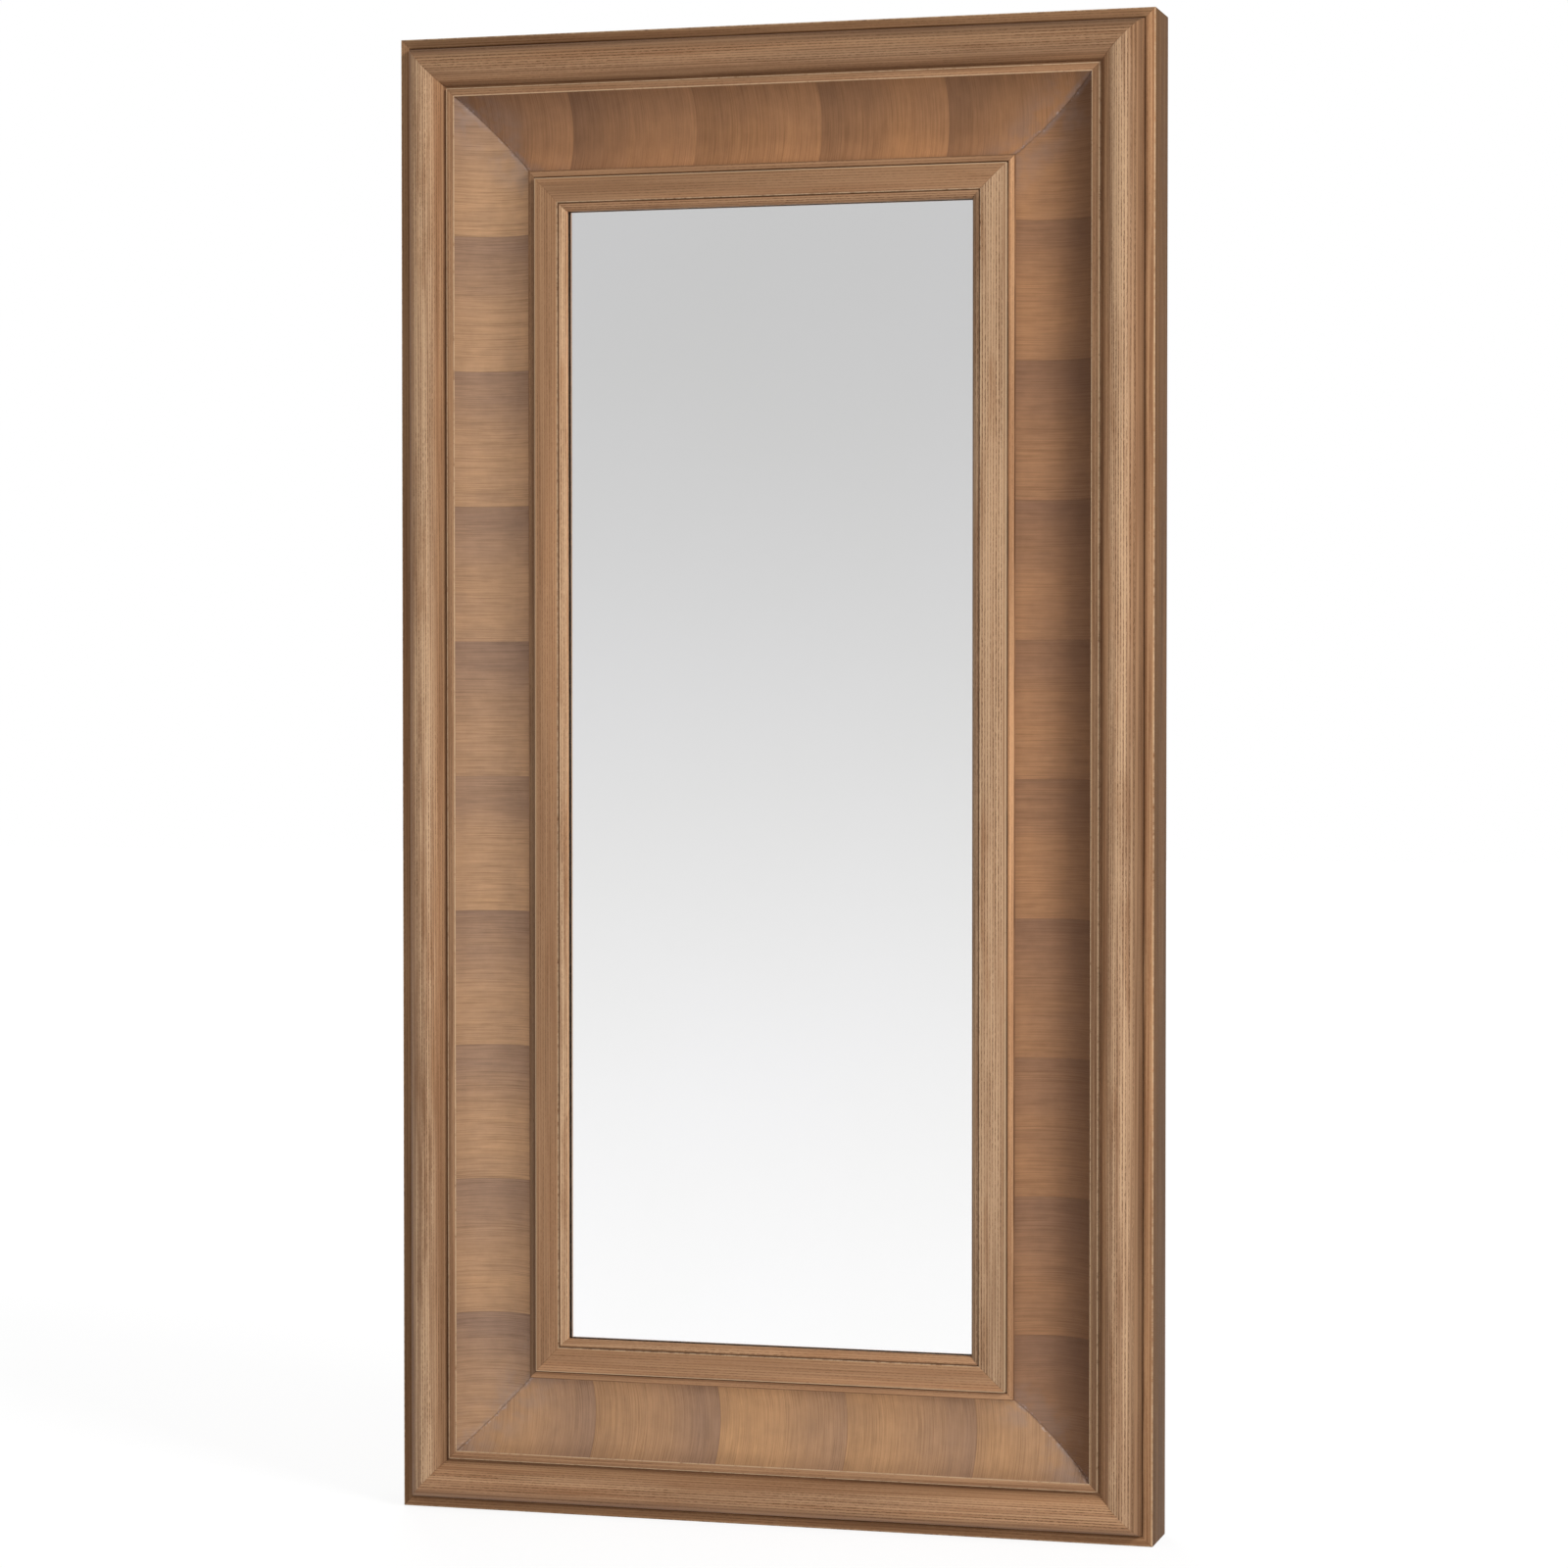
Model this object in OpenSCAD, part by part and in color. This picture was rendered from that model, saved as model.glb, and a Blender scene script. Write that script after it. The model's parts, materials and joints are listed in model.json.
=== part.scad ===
// Tall rectangular mirror in a deep, mitred timber frame.
// From the outside in, the frame has a narrow flat edge, a half-round moulding, a raised fillet,
// a hollow covered with cross-grain veneer leaves, and a raised inner moulding that holds the glass.
// +Z is up and the glass faces -Y. The origin is on the floor, under the middle of the whole mirror.
// Frame sections are drawn in 2D: x is the inset from the frame's outer edge, and y is the depth
// behind the face of the edge board, so what stands proud of that face has a negative y.

/* [Overall] */
// Width over the outer edges of the frame
overall_w = 990; // [900:1:1200]
// Height over the outer edges of the frame
overall_h = 1905; // [1700:1:2200]
// Depth of the edge boards from front face to back
frame_depth = 85; // [76:1:110]

/* [Edge boards] */
// Thickness of an edge board
edge_board_t = 22; // [18:1:30]
// Width of the board's face that shows beside the half-round
edge_face_w = 12.5; // [8:0.5:16]
// Rounding of the board's front outer edge
edge_round_r = 1.5; // [0.5:0.1:3]

/* [Outer moulding] */
// Radius of the half-round
torus_r = 26; // [22:0.5:28]
// Height of the half-round's centre above the edge board's face
torus_lift = 1; // [0:0.5:4]
// Depth of the moulding's seat behind the edge board's face
seat_depth = 14; // [10:0.5:18]
// Width of the groove between the edge board's face and the half-round
outer_quirk_w = 1; // [0.6:0.1:2]
// Width of the groove between the half-round and the raised fillet
inner_quirk_w = 1.5; // [1:0.1:3]
// Depth of the outer groove behind the edge board's face
quirk_depth = 1.5; // [1:0.1:3]
// Height of the inner groove's floor above the edge board's face
inner_quirk_rise = 9; // [0:0.5:12]
// Width of the raised fillet
fillet_w = 10.5; // [8:0.5:16]
// Height of the raised fillet above the edge board's face
fillet_rise = 14; // [10:0.5:18]

/* [Hollow] */
// Width of the hollow
cove_w = 98; // [80:1:110]
// Fall of the hollow from the fillet to the inner moulding
cove_fall = 11.5; // [8:0.5:16]
// Depth of the hollow's middle below the straight line between its edges
cove_depth = 20; // [14:0.5:24]
// Step from the fillet's face down to the veneer
cove_step = 1.5; // [0.5:0.1:3]
// Thickness of a veneer leaf
veneer_t = 1; // [0.6:0.1:1.5]
// Thickness of the glue between the veneer and the core
glue_t = 0.2; // [0.1:0.05:0.3]
// Width of the joint between two veneer leaves
leaf_gap = 0.1; // [0.05:0.05:0.3]
// Narrowest end of a leaf beside a mitre
least_leaf_w = 30; // [25:1:60]
// Width of a veneer leaf on the stiles
stile_leaf_w = 174; // [120:1:240]
// Width of a veneer leaf on the top rail
top_leaf_w = 165; // [120:1:240]
// Width of a veneer leaf on the bottom rail
bottom_leaf_w = 168; // [120:1:240]
// Distance of one leaf joint on the top rail from its middle
top_joint_x = 66; // [-80:1:80]
// Distance of one leaf joint on the bottom rail from its middle
bottom_joint_x = -68; // [-80:1:80]

/* [Inner moulding] */
// Width of the bead beside the hollow
bead_w = 8.5; // [5:0.5:12]
// Height of the bead above the end of the hollow
bead_rise = 4; // [1:0.5:6]
// Width of the two fine grooves
groove_w = 1.5; // [1:0.1:2.5]
// Depth of the two fine grooves
groove_depth = 2.5; // [1.5:0.1:4]
// Width of the flat
flat_w = 32.5; // [26:0.5:40]
// Height of the flat's outer edge above the bead
flat_rise = 6; // [3:0.5:8]
// Rise of the flat towards the glass
flat_climb = 4.5; // [1:0.5:7]
// Width of the rounded lip that frames the glass
lip_w = 9.5; // [9.5:0.5:14]
// Rounding of the lip
lip_r = 9; // [5:0.5:9.5]
// Depth of the lip below the flat's inner edge
lip_step = 1; // [0:0.1:2]
// Straight part of the lip between its rounding and the glass
lip_edge = 4.5; // [2:0.1:6]
// Length of the tongue that joins the inner moulding to the core of the hollow
tongue_l = 7; // [4:0.5:10]
// Thickness of that tongue
tongue_t = 6; // [4:0.5:7]
// Wood left between the tongue and the back of the inner moulding
tongue_edge = 3; // [2:0.5:4]

/* [Backs] */
// Depth of the back of the inner moulding
inner_back = 20; // [18:0.5:24]
// Depth of the back of the cores under the hollows
core_back = 38; // [36:0.5:44]
// Width of the battens behind the cores
batten_w = 75; // [68:1:90]

/* [Glass] */
// Width of the rebate that holds the glass
rebate_w = 12; // [8:0.5:14]
// Room between the glass edge and the side of the rebate
glass_gap = 2; // [1:0.5:3]
// Thickness of the glass
glass_t = 5; // [3:0.5:6]
// Thickness of the silvering and its paint
silver_t = 0.4; // [0.2:0.1:0.6]
// Thickness of the backing board
board_t = 9; // [6:0.5:11]
// Length of the blocks under the glass
setting_block_l = 80; // [40:1:120]
// Length of the spacers at the sides and top of the glass
spacer_l = 50; // [20:1:80]
// Distance of blocks and spacers from the ends of the opening
spacer_inset = 70; // [50:1:120]

/* [Retaining clips] */
// Clips along each long side
clips_per_stile = 4; // [2:1:6]
// Clips along each short side
clips_per_rail = 2; // [2:1:4]
// Distance of the first clip from the end of the opening
clip_inset = 130; // [80:1:180]
// Width of a clip
clip_w = 18; // [12:1:24]
// Sheet thickness of a clip
clip_t = 1.2; // [0.8:0.1:1.6]
// Reach of a clip into the rebate
clip_reach = 12; // [8:0.5:16]
// Length of a clip on the inner moulding
clip_foot_l = 22; // [18:1:28]
// Room between a clip and the side of the rebate
clip_room = 0.3; // [0.1:0.1:0.6]

/* [Corner plates] */
// Length of an arm from the corner to its end
plate_arm_l = 95; // [80:1:110]
// Width of an arm
plate_arm_w = 24; // [18:1:30]
// Thickness of a corner plate
plate_t = 2.5; // [2:0.1:4]
// Distance of the last screw from the end of an arm
plate_screw_edge = 12; // [8:1:16]
// Distance between the two screws of an arm
plate_screw_pitch = 34; // [20:1:40]

/* [Biscuits] */
// Length of a biscuit along the mitre
biscuit_l = 56; // [40:1:64]
// Width of a biscuit across the mitre
biscuit_w = 23; // [16:1:26]
// Thickness of a biscuit
biscuit_t = 4; // [3:0.5:5]
// Room round the edge of a biscuit in its slot
biscuit_room = 0.4; // [0.3:0.1:0.6]

/* [Screws] */
// Radius of the screws' shanks
screw_r = 2; // [1.5:0.1:2.4]
// Radius of the countersunk heads
screw_head_r = 4; // [3.2:0.1:4.4]
// Length of a countersunk head
screw_head_l = 2; // [1.6:0.1:2.4]
// Length of the screws in clips, corner plates and straps
short_screw_l = 18; // [14:1:20]
// Length of the moulding screws in the outer moulding
moulding_screw_bite = 21; // [14:1:26]
// Length of the batten screws in the core
batten_screw_bite = 17; // [12:1:20]
// Room round a screw in its hole
screw_room = 0.05; // [0.03:0.01:0.1]
// Screws along each stile, in a moulding or a batten
screws_per_stile = 6; // [3:1:8]
// Screws along each rail, in a moulding or a batten
screws_per_rail = 3; // [2:1:5]
// Distance of the first moulding screw from the end of a bar
moulding_screw_inset = 130; // [100:1:160]
// Distance of the first batten screw from the end of a bar
batten_screw_inset = 260; // [250:1:300]
// Distance of the batten screws from the inner edge of a batten
batten_screw_edge = 15; // [10:1:18]

/* [Hangers] */
// Height of the ring's hinge below the top of the frame
hanger_drop = 330; // [280:1:500]
// Width of a strap
strap_w = 18; // [14:1:22]
// Length of a strap below its hinge
strap_l = 72; // [68:1:90]
// Thickness of a strap
strap_t = 2; // [1.5:0.1:2.4]
// Outer radius of the strap's rolled eye
strap_eye_r = 4.6; // [4.4:0.1:4.7]
// Distance of the strap's first screw below the hinge
strap_screw_drop = 38; // [36:1:44]
// Distance between the strap's two screws
strap_screw_pitch = 22; // [14:1:24]
// Radius of the ring's wire
ring_wire_r = 2; // [1.6:0.1:2.1]
// Half the width of the ring between wire centres
ring_half_w = 17; // [15:0.5:19]
// Length of the ring's straight legs
ring_leg_l = 8; // [5:0.5:10]
// Running clearance of the ring's wire in the eye
ring_clearance = 0.08; // [0.03:0.01:0.1]

/* [Wall bumpers] */
// Radius of a bumper
bumper_r = 15; // [10:0.5:20]
// Thickness of a bumper
bumper_t = 10; // [9.5:0.5:14]
// Rounding of a bumper's outer edge
bumper_round_r = 2; // [1:0.5:3]
// Distance of a bumper from the top or bottom of the frame
bumper_inset = 200; // [180:1:220]

/* [Hidden] */
$fn = 64;
cut = 1;
far = 400;
arc_fn = 720;

// Insets of the lines between the parts of the section
torus_x = edge_face_w + outer_quirk_w + torus_r;
fillet_x = torus_x + torus_r + inner_quirk_w;
cove_x = fillet_x + fillet_w;
inner_x = cove_x + cove_w;
flat_x = inner_x + bead_w + groove_w;
flat_end_x = flat_x + flat_w;
lip_x = flat_end_x + groove_w;
sight_x = lip_x + lip_w;
rebate_x = sight_x - rebate_w;
batten_end_x = edge_board_t + batten_w;
batten_x = edge_board_t + batten_w / 2;
biscuit_x = (edge_board_t + inner_x) / 2;

// Depths of the same lines
cove_top_y = cove_step - fillet_rise;
cove_end_y = cove_top_y + cove_fall;
bead_y = cove_end_y - bead_rise;
flat_y = bead_y - flat_rise;
flat_end_y = flat_y - flat_climb;
lip_y = flat_end_y + lip_step;
glass_y = lip_y + lip_r + lip_edge;
silver_y = glass_y + glass_t;
board_y = silver_y + silver_t;
board_back_y = board_y + board_t;
tongue_y = inner_back - tongue_edge - tongue_t;
biscuit_y = (seat_depth + core_back) / 2;

// The hollow is one arc between its two edges
cove_chord = sqrt(cove_w * cove_w + cove_fall * cove_fall);
cove_r = (cove_chord * cove_chord / 4 + cove_depth * cove_depth) / (2 * cove_depth);
cove_axis_x = cove_x + cove_w / 2 + (cove_r - cove_depth) * cove_fall / cove_chord;
cove_axis_y = cove_top_y + cove_fall / 2 - (cove_r - cove_depth) * cove_w / cove_chord;

moulding_screw_l = core_back - seat_depth + moulding_screw_bite;
batten_screw_l = frame_depth - core_back + batten_screw_bite;

crown_y = -torus_lift - torus_r;
back_y = frame_depth + bumper_t;
mid_y = (crown_y + back_y) / 2;
mitre_reach = sight_x + cut;
hinge_y = frame_depth + strap_eye_r;

pane_w = overall_w - 2 * rebate_x - 2 * glass_gap;
pane_h = overall_h - 2 * rebate_x - 2 * glass_gap;

function is_stile(side) = side == "left" || side == "right";
function bar_length(side) = is_stile(side) ? overall_h : overall_w;
function screw_count(side) = is_stile(side) ? screws_per_stile : screws_per_rail;
function clip_count(side) = is_stile(side) ? clips_per_stile : clips_per_rail;
function leaf_w(side) = is_stile(side) ? stile_leaf_w : side == "top" ? top_leaf_w : bottom_leaf_w;
function joint_offset(side) = is_stile(side) ? 0 : side == "top" ? top_joint_x : bottom_joint_x;
// Joints between the veneer leaves of a bar that lie clear of its mitres
function leaf_joints(side) =
    let (
        middle = bar_length(side) / 2 + joint_offset(side),
        first = cove_x + least_leaf_w,
        last = bar_length(side) - first,
        below = floor((middle - first) / leaf_w(side)),
        above = floor((last - middle) / leaf_w(side))
    )
    [for (i = [-below : above]) middle + i * leaf_w(side)];
// Places along a bar, evenly spread between two equal insets from its ends
function spread(length, inset, count) =
    [for (i = [0 : count - 1]) inset + i * (length - 2 * inset) / (count - 1)];
function moulding_screw_places(side) = spread(bar_length(side), moulding_screw_inset, screw_count(side));
function batten_screw_places(side) = spread(bar_length(side), batten_screw_inset, screw_count(side));
function clip_places(side) = spread(bar_length(side), sight_x + clip_inset, clip_count(side));
function spacer_places(side) = spread(bar_length(side), sight_x + spacer_inset, 2);
function plate_screw_places() =
    let (end = batten_x - plate_arm_w / 2 + plate_arm_l - plate_screw_edge)
    [[batten_x, end], [batten_x, end - plate_screw_pitch], [end, batten_x], [end - plate_screw_pitch, batten_x]];
function strap_screw_places() =
    [for (i = [0, 1]) overall_h - hanger_drop - strap_screw_drop - i * strap_screw_pitch];

SIDES = ["left", "right", "top", "bottom"];
STILES = ["left", "right"];

// Moves a bar drawn along +Z, with its outer edge on the Z axis, to its side of the frame
module on_side(side) {
    if (side == "left")
        translate([-overall_w / 2, -mid_y, 0]) children();
    if (side == "right")
        mirror([1, 0, 0]) translate([-overall_w / 2, -mid_y, 0]) children();
    if (side == "top")
        translate([-overall_w / 2, -mid_y, overall_h]) rotate([0, 90, 0]) children();
    if (side == "bottom")
        translate([-overall_w / 2, -mid_y, 0]) mirror([0, 0, 1]) rotate([0, 90, 0]) children();
}

// Draws the same thing at both ends of a bar, mirrored
module at_both_ends(length) {
    children();
    translate([0, 0, length]) mirror([0, 0, 1]) children();
}

// Stands a 2D shape of inset and length on a depth, with its thickness towards the back
module slab(depth, thickness) {
    translate([0, depth + thickness, 0]) rotate([90, 0, 0]) linear_extrude(thickness) children();
}

// Turns a thing drawn along Z so that its +Z points to the back
module to_back(x, y, z) {
    translate([x, y, z]) rotate([-90, 0, 0]) children();
}

// Bar of the given 2D section, cut at 45 degrees at both ends
module mitred_bar(length) {
    intersection() {
        linear_extrude(length) children();
        slab(-far, 2 * far)
            polygon([
                [-cut, -cut], [mitre_reach, mitre_reach],
                [mitre_reach, length - mitre_reach], [-cut, length + cut]
            ]);
    }
}

// Countersunk screw with the flat of its head at z = 0 and its point towards -Z
module screw(length) {
    rotate_extrude()
        polygon([
            [0, 0], [screw_head_r, 0], [screw_r, -screw_head_l], [screw_r, -length], [0, -length]
        ]);
}

module screw_hole(length) {
    head_r = screw_head_r + screw_room;
    shank_r = screw_r + screw_room;
    rotate_extrude()
        polygon([
            [0, cut], [head_r, cut], [head_r, 0], [shank_r, -screw_head_l],
            [shank_r, -length - screw_room], [0, -length - screw_room]
        ]);
}

// Edge board with its rounded front edge and the step that seats the outer moulding
module edge_board_section() {
    difference() {
        square([edge_board_t, frame_depth]);
        translate([edge_face_w, -cut]) square([edge_board_t, seat_depth + cut]);
        difference() {
            translate([-cut, -cut]) square(edge_round_r + cut);
            translate([edge_round_r, edge_round_r]) circle(edge_round_r);
        }
    }
}

module edge_board(side) {
    color("#8a6242") on_side(side) mitred_bar(bar_length(side)) edge_board_section();
}

// Half-round, groove and raised fillet, worked on one solid moulding
module outer_moulding_section() {
    translate([edge_face_w, quirk_depth]) square([cove_x - edge_face_w, seat_depth - quirk_depth]);
    translate([torus_x, -inner_quirk_rise]) square([fillet_x - torus_x, seat_depth + inner_quirk_rise]);
    translate([fillet_x, -fillet_rise]) square([fillet_w, seat_depth + fillet_rise]);
    intersection() {
        translate([torus_x, -torus_lift]) circle(torus_r);
        translate([torus_x - torus_r, crown_y - cut]) square([2 * torus_r, quirk_depth + 2 * cut - crown_y]);
    }
}

module outer_moulding(side) {
    color("#a07850")
        on_side(side)
            difference() {
                mitred_bar(bar_length(side)) outer_moulding_section();
                for (place = moulding_screw_places(side))
                    to_back(torus_x, core_back, place) screw_hole(moulding_screw_l);
            }
}

// Flat board under the outer moulding that rises to the hollow beside it
module cove_core_section() {
    difference() {
        union() {
            translate([edge_board_t, seat_depth]) square([inner_x - edge_board_t, core_back - seat_depth]);
            translate([cove_x, cove_top_y]) square([cove_w, core_back - cove_top_y]);
        }
        translate([cove_axis_x, cove_axis_y]) circle(cove_r + veneer_t + glue_t, $fn = arc_fn);
        translate([inner_x - tongue_l, tongue_y]) square([tongue_l + cut, tongue_t]);
    }
}

// Lens-shaped biscuit across the mitre, with its long axis on the mitre line and room round its edge
module biscuit(room) {
    arc_r = (pow(biscuit_l / 2 + room, 2) + pow(biscuit_w / 2 + room, 2)) / (biscuit_w + 2 * room);
    arc_shift = arc_r - biscuit_w / 2 - room;
    translate([biscuit_x, biscuit_y + biscuit_t / 2, biscuit_x])
        rotate([0, -45, 0])
            rotate([90, 0, 0])
                linear_extrude(biscuit_t)
                    intersection() {
                        translate([0, arc_shift]) circle(arc_r);
                        translate([0, -arc_shift]) circle(arc_r);
                    }
}

module cove_core(side) {
    color("#c9a878")
        on_side(side)
            difference() {
                mitred_bar(bar_length(side)) cove_core_section();
                at_both_ends(bar_length(side)) biscuit(biscuit_room);
                for (place = moulding_screw_places(side))
                    to_back(torus_x, core_back, place) screw_hole(moulding_screw_l);
                for (place = batten_screw_places(side))
                    to_back(batten_end_x - batten_screw_edge, frame_depth, place) screw_hole(batten_screw_l);
            }
}

module cove_veneer_section() {
    intersection() {
        difference() {
            translate([cove_axis_x, cove_axis_y]) circle(cove_r + veneer_t, $fn = arc_fn);
            translate([cove_axis_x, cove_axis_y]) circle(cove_r, $fn = arc_fn);
        }
        translate([cove_x, cove_axis_y]) square([cove_w, cove_r + 2 * veneer_t]);
    }
}

// One veneered face, as separate leaves with their grain across the bar
module cove_veneer(side) {
    length = bar_length(side);
    edges = concat([-cut], leaf_joints(side), [length + cut]);
    color("#9a7350")
        on_side(side)
            for (i = [1 : len(edges) - 1])
                intersection() {
                    mitred_bar(length) cove_veneer_section();
                    translate([0, -far, edges[i - 1] + leaf_gap / 2])
                        cube([inner_x + cut, 2 * far, edges[i] - edges[i - 1] - leaf_gap]);
                }
}

// Bead, flat and rounded lip, with the rebate for the glass and the tongue behind them
module inner_moulding_section() {
    difference() {
        polygon([
            [inner_x, bead_y], [inner_x + bead_w, bead_y],
            [inner_x + bead_w, bead_y + groove_depth], [flat_x, bead_y + groove_depth],
            [flat_x, flat_y], [flat_end_x, flat_end_y],
            [flat_end_x, flat_end_y + groove_depth], [lip_x, flat_end_y + groove_depth],
            [lip_x, lip_y], [sight_x, lip_y],
            [sight_x, glass_y], [rebate_x, glass_y],
            [rebate_x, inner_back], [inner_x, inner_back],
            [inner_x, tongue_y + tongue_t], [inner_x - tongue_l, tongue_y + tongue_t],
            [inner_x - tongue_l, tongue_y], [inner_x, tongue_y]
        ]);
        difference() {
            translate([sight_x - lip_r, lip_y - cut]) square([lip_r + cut, lip_r + cut]);
            translate([sight_x - lip_r, lip_y + lip_r]) circle(lip_r);
        }
    }
}

module inner_moulding(side) {
    color("#a98055")
        on_side(side)
            difference() {
                mitred_bar(bar_length(side)) inner_moulding_section();
                for (place = clip_places(side))
                    to_back(rebate_x - clip_foot_l / 2, inner_back + clip_t, place) screw_hole(short_screw_l);
            }
}

module batten(side) {
    color("#d2b48c")
        on_side(side)
            difference() {
                mitred_bar(bar_length(side))
                    translate([edge_board_t, core_back]) square([batten_w, frame_depth - core_back]);
                for (place = batten_screw_places(side))
                    to_back(batten_end_x - batten_screw_edge, frame_depth, place) screw_hole(batten_screw_l);
                at_both_ends(bar_length(side)) corner_plate_holes();
                if (is_stile(side))
                    for (place = strap_screw_places())
                        to_back(batten_x, frame_depth + strap_t, place) screw_hole(short_screw_l);
            }
}

module corner_plate_holes() {
    for (place = plate_screw_places())
        to_back(place[0], frame_depth + plate_t, place[1]) screw_hole(short_screw_l);
}

module mitre_biscuits() {
    color("#c49a6c")
        for (side = STILES)
            on_side(side) at_both_ends(overall_h) biscuit(0);
}

module moulding_screws() {
    color("#8f8f93")
        for (side = SIDES, place = moulding_screw_places(side))
            on_side(side) to_back(torus_x, core_back, place) screw(moulding_screw_l);
}

module batten_screws() {
    color("#8f8f93")
        for (side = SIDES, place = batten_screw_places(side))
            on_side(side) to_back(batten_end_x - batten_screw_edge, frame_depth, place) screw(batten_screw_l);
}

// Sheet of the pane's outline, from one depth towards the back
module pane(depth, thickness) {
    translate([-pane_w / 2, depth - mid_y, overall_h / 2 - pane_h / 2])
        cube([pane_w, thickness, pane_h]);
}

module mirror_glass() {
    color("#cfe3e0", 0.5) pane(glass_y, glass_t);
}

module silvering() {
    color("#c8ccd0") pane(silver_y, silver_t);
}

module backing_board() {
    color("#7a5a3c") pane(board_y, board_t);
}

// Packer between the edge of the glass and the side of the rebate
module glass_packer(length, place) {
    translate([rebate_x, glass_y, place - length / 2]) cube([glass_gap, glass_t, length]);
}

module setting_blocks() {
    color("#2d2d2d")
        for (place = spacer_places("bottom"))
            on_side("bottom") glass_packer(setting_block_l, place);
}

module glass_spacers() {
    color("#b58a58")
        for (side = ["left", "right", "top"], place = spacer_places(side))
            on_side(side) glass_packer(spacer_l, place);
}

// Cranked clip that presses on the backing board
module retaining_clip() {
    web_x = rebate_x + clip_room;
    difference() {
        translate([0, 0, -clip_w / 2])
            linear_extrude(clip_w)
                polygon([
                    [rebate_x - clip_foot_l, inner_back], [web_x, inner_back],
                    [web_x, board_back_y], [web_x + clip_reach, board_back_y],
                    [web_x + clip_reach, board_back_y + clip_t], [web_x + clip_t, board_back_y + clip_t],
                    [web_x + clip_t, inner_back + clip_t], [rebate_x - clip_foot_l, inner_back + clip_t]
                ]);
        to_back(rebate_x - clip_foot_l / 2, inner_back + clip_t, 0) screw_hole(short_screw_l);
    }
}

module retaining_clips() {
    color("#b8bcc2")
        for (side = SIDES, place = clip_places(side))
            on_side(side) translate([0, 0, place]) retaining_clip();
}

// Flat L-shaped plate across the mitre of the battens
module corner_plate() {
    corner = batten_x - plate_arm_w / 2;
    difference() {
        slab(frame_depth, plate_t)
            translate([corner, corner]) {
                square([plate_arm_w, plate_arm_l]);
                square([plate_arm_l, plate_arm_w]);
            }
        corner_plate_holes();
    }
}

module corner_plates() {
    color("#a9adb3")
        for (side = STILES)
            on_side(side) at_both_ends(overall_h) corner_plate();
}

// Strap that is screwed to a batten and rolled round the straight bar of the ring
module hanger_strap(side) {
    hinge_z = overall_h - hanger_drop;
    color("#c0a46a")
        on_side(side)
            difference() {
                union() {
                    translate([batten_x - strap_w / 2, frame_depth, hinge_z - strap_l])
                        cube([strap_w, strap_t, strap_l]);
                    translate([batten_x - strap_w / 2, hinge_y, hinge_z])
                        rotate([0, 90, 0])
                            cylinder(r = strap_eye_r, h = strap_w);
                }
                translate([batten_x - strap_w / 2 - cut, hinge_y, hinge_z])
                    rotate([0, 90, 0])
                        cylinder(r = ring_wire_r + ring_clearance, h = strap_w + 2 * cut);
                for (place = strap_screw_places())
                    to_back(batten_x, frame_depth + strap_t, place) screw_hole(short_screw_l);
            }
}

// D-shaped wire ring, hanging from its straight bar
module hanging_ring(side) {
    color("#c9ccd1")
        on_side(side)
            translate([batten_x, hinge_y, overall_h - hanger_drop]) {
                translate([-ring_half_w, 0, 0])
                    rotate([0, 90, 0]) cylinder(r = ring_wire_r, h = 2 * ring_half_w);
                for (x = [-ring_half_w, ring_half_w]) {
                    translate([x, 0, 0]) sphere(ring_wire_r);
                    translate([x, 0, -ring_leg_l]) cylinder(r = ring_wire_r, h = ring_leg_l);
                }
                translate([0, 0, -ring_leg_l])
                    rotate([-90, 0, 0])
                        rotate_extrude(angle = 180) translate([ring_half_w, 0]) circle(ring_wire_r);
            }
}

// The same screw holds the clips, the corner plates and the straps
module short_screws() {
    color("#8f8f93") {
        for (side = SIDES, place = clip_places(side))
            on_side(side) to_back(rebate_x - clip_foot_l / 2, inner_back + clip_t, place) screw(short_screw_l);
        for (side = STILES, place = plate_screw_places())
            on_side(side)
                at_both_ends(overall_h)
                    to_back(place[0], frame_depth + plate_t, place[1]) screw(short_screw_l);
        for (side = STILES, place = strap_screw_places())
            on_side(side) to_back(batten_x, frame_depth + strap_t, place) screw(short_screw_l);
    }
}

// Rubber disc that keeps the frame off the wall
module wall_bumper() {
    rotate_extrude()
        difference() {
            square([bumper_r, bumper_t]);
            difference() {
                translate([bumper_r - bumper_round_r, bumper_t - bumper_round_r]) square(bumper_round_r + cut);
                translate([bumper_r - bumper_round_r, bumper_t - bumper_round_r]) circle(bumper_round_r);
            }
        }
}

module wall_bumpers() {
    color("#3a3632")
        for (side = STILES)
            on_side(side)
                at_both_ends(overall_h)
                    to_back(batten_x, frame_depth, bumper_inset) wall_bumper();
}

edge_board("left");  // edge_board_left
edge_board("right");  // edge_board_right
edge_board("top");  // edge_board_top
edge_board("bottom");  // edge_board_bottom
outer_moulding("left");  // outer_moulding_left
outer_moulding("right");  // outer_moulding_right
outer_moulding("top");  // outer_moulding_top
outer_moulding("bottom");  // outer_moulding_bottom
cove_core("left");  // cove_core_left
cove_core("right");  // cove_core_right
cove_core("top");  // cove_core_top
cove_core("bottom");  // cove_core_bottom
cove_veneer("left");  // cove_veneer_left
cove_veneer("right");  // cove_veneer_right
cove_veneer("top");  // cove_veneer_top
cove_veneer("bottom");  // cove_veneer_bottom
inner_moulding("left");  // inner_moulding_left
inner_moulding("right");  // inner_moulding_right
inner_moulding("top");  // inner_moulding_top
inner_moulding("bottom");  // inner_moulding_bottom
batten("left");  // batten_left
batten("right");  // batten_right
batten("top");  // batten_top
batten("bottom");  // batten_bottom
mitre_biscuits();
moulding_screws();
batten_screws();
mirror_glass();
silvering();
backing_board();
setting_blocks();
glass_spacers();
retaining_clips();
corner_plates();
short_screws();
hanger_strap("left");  // hanger_strap_left
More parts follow.
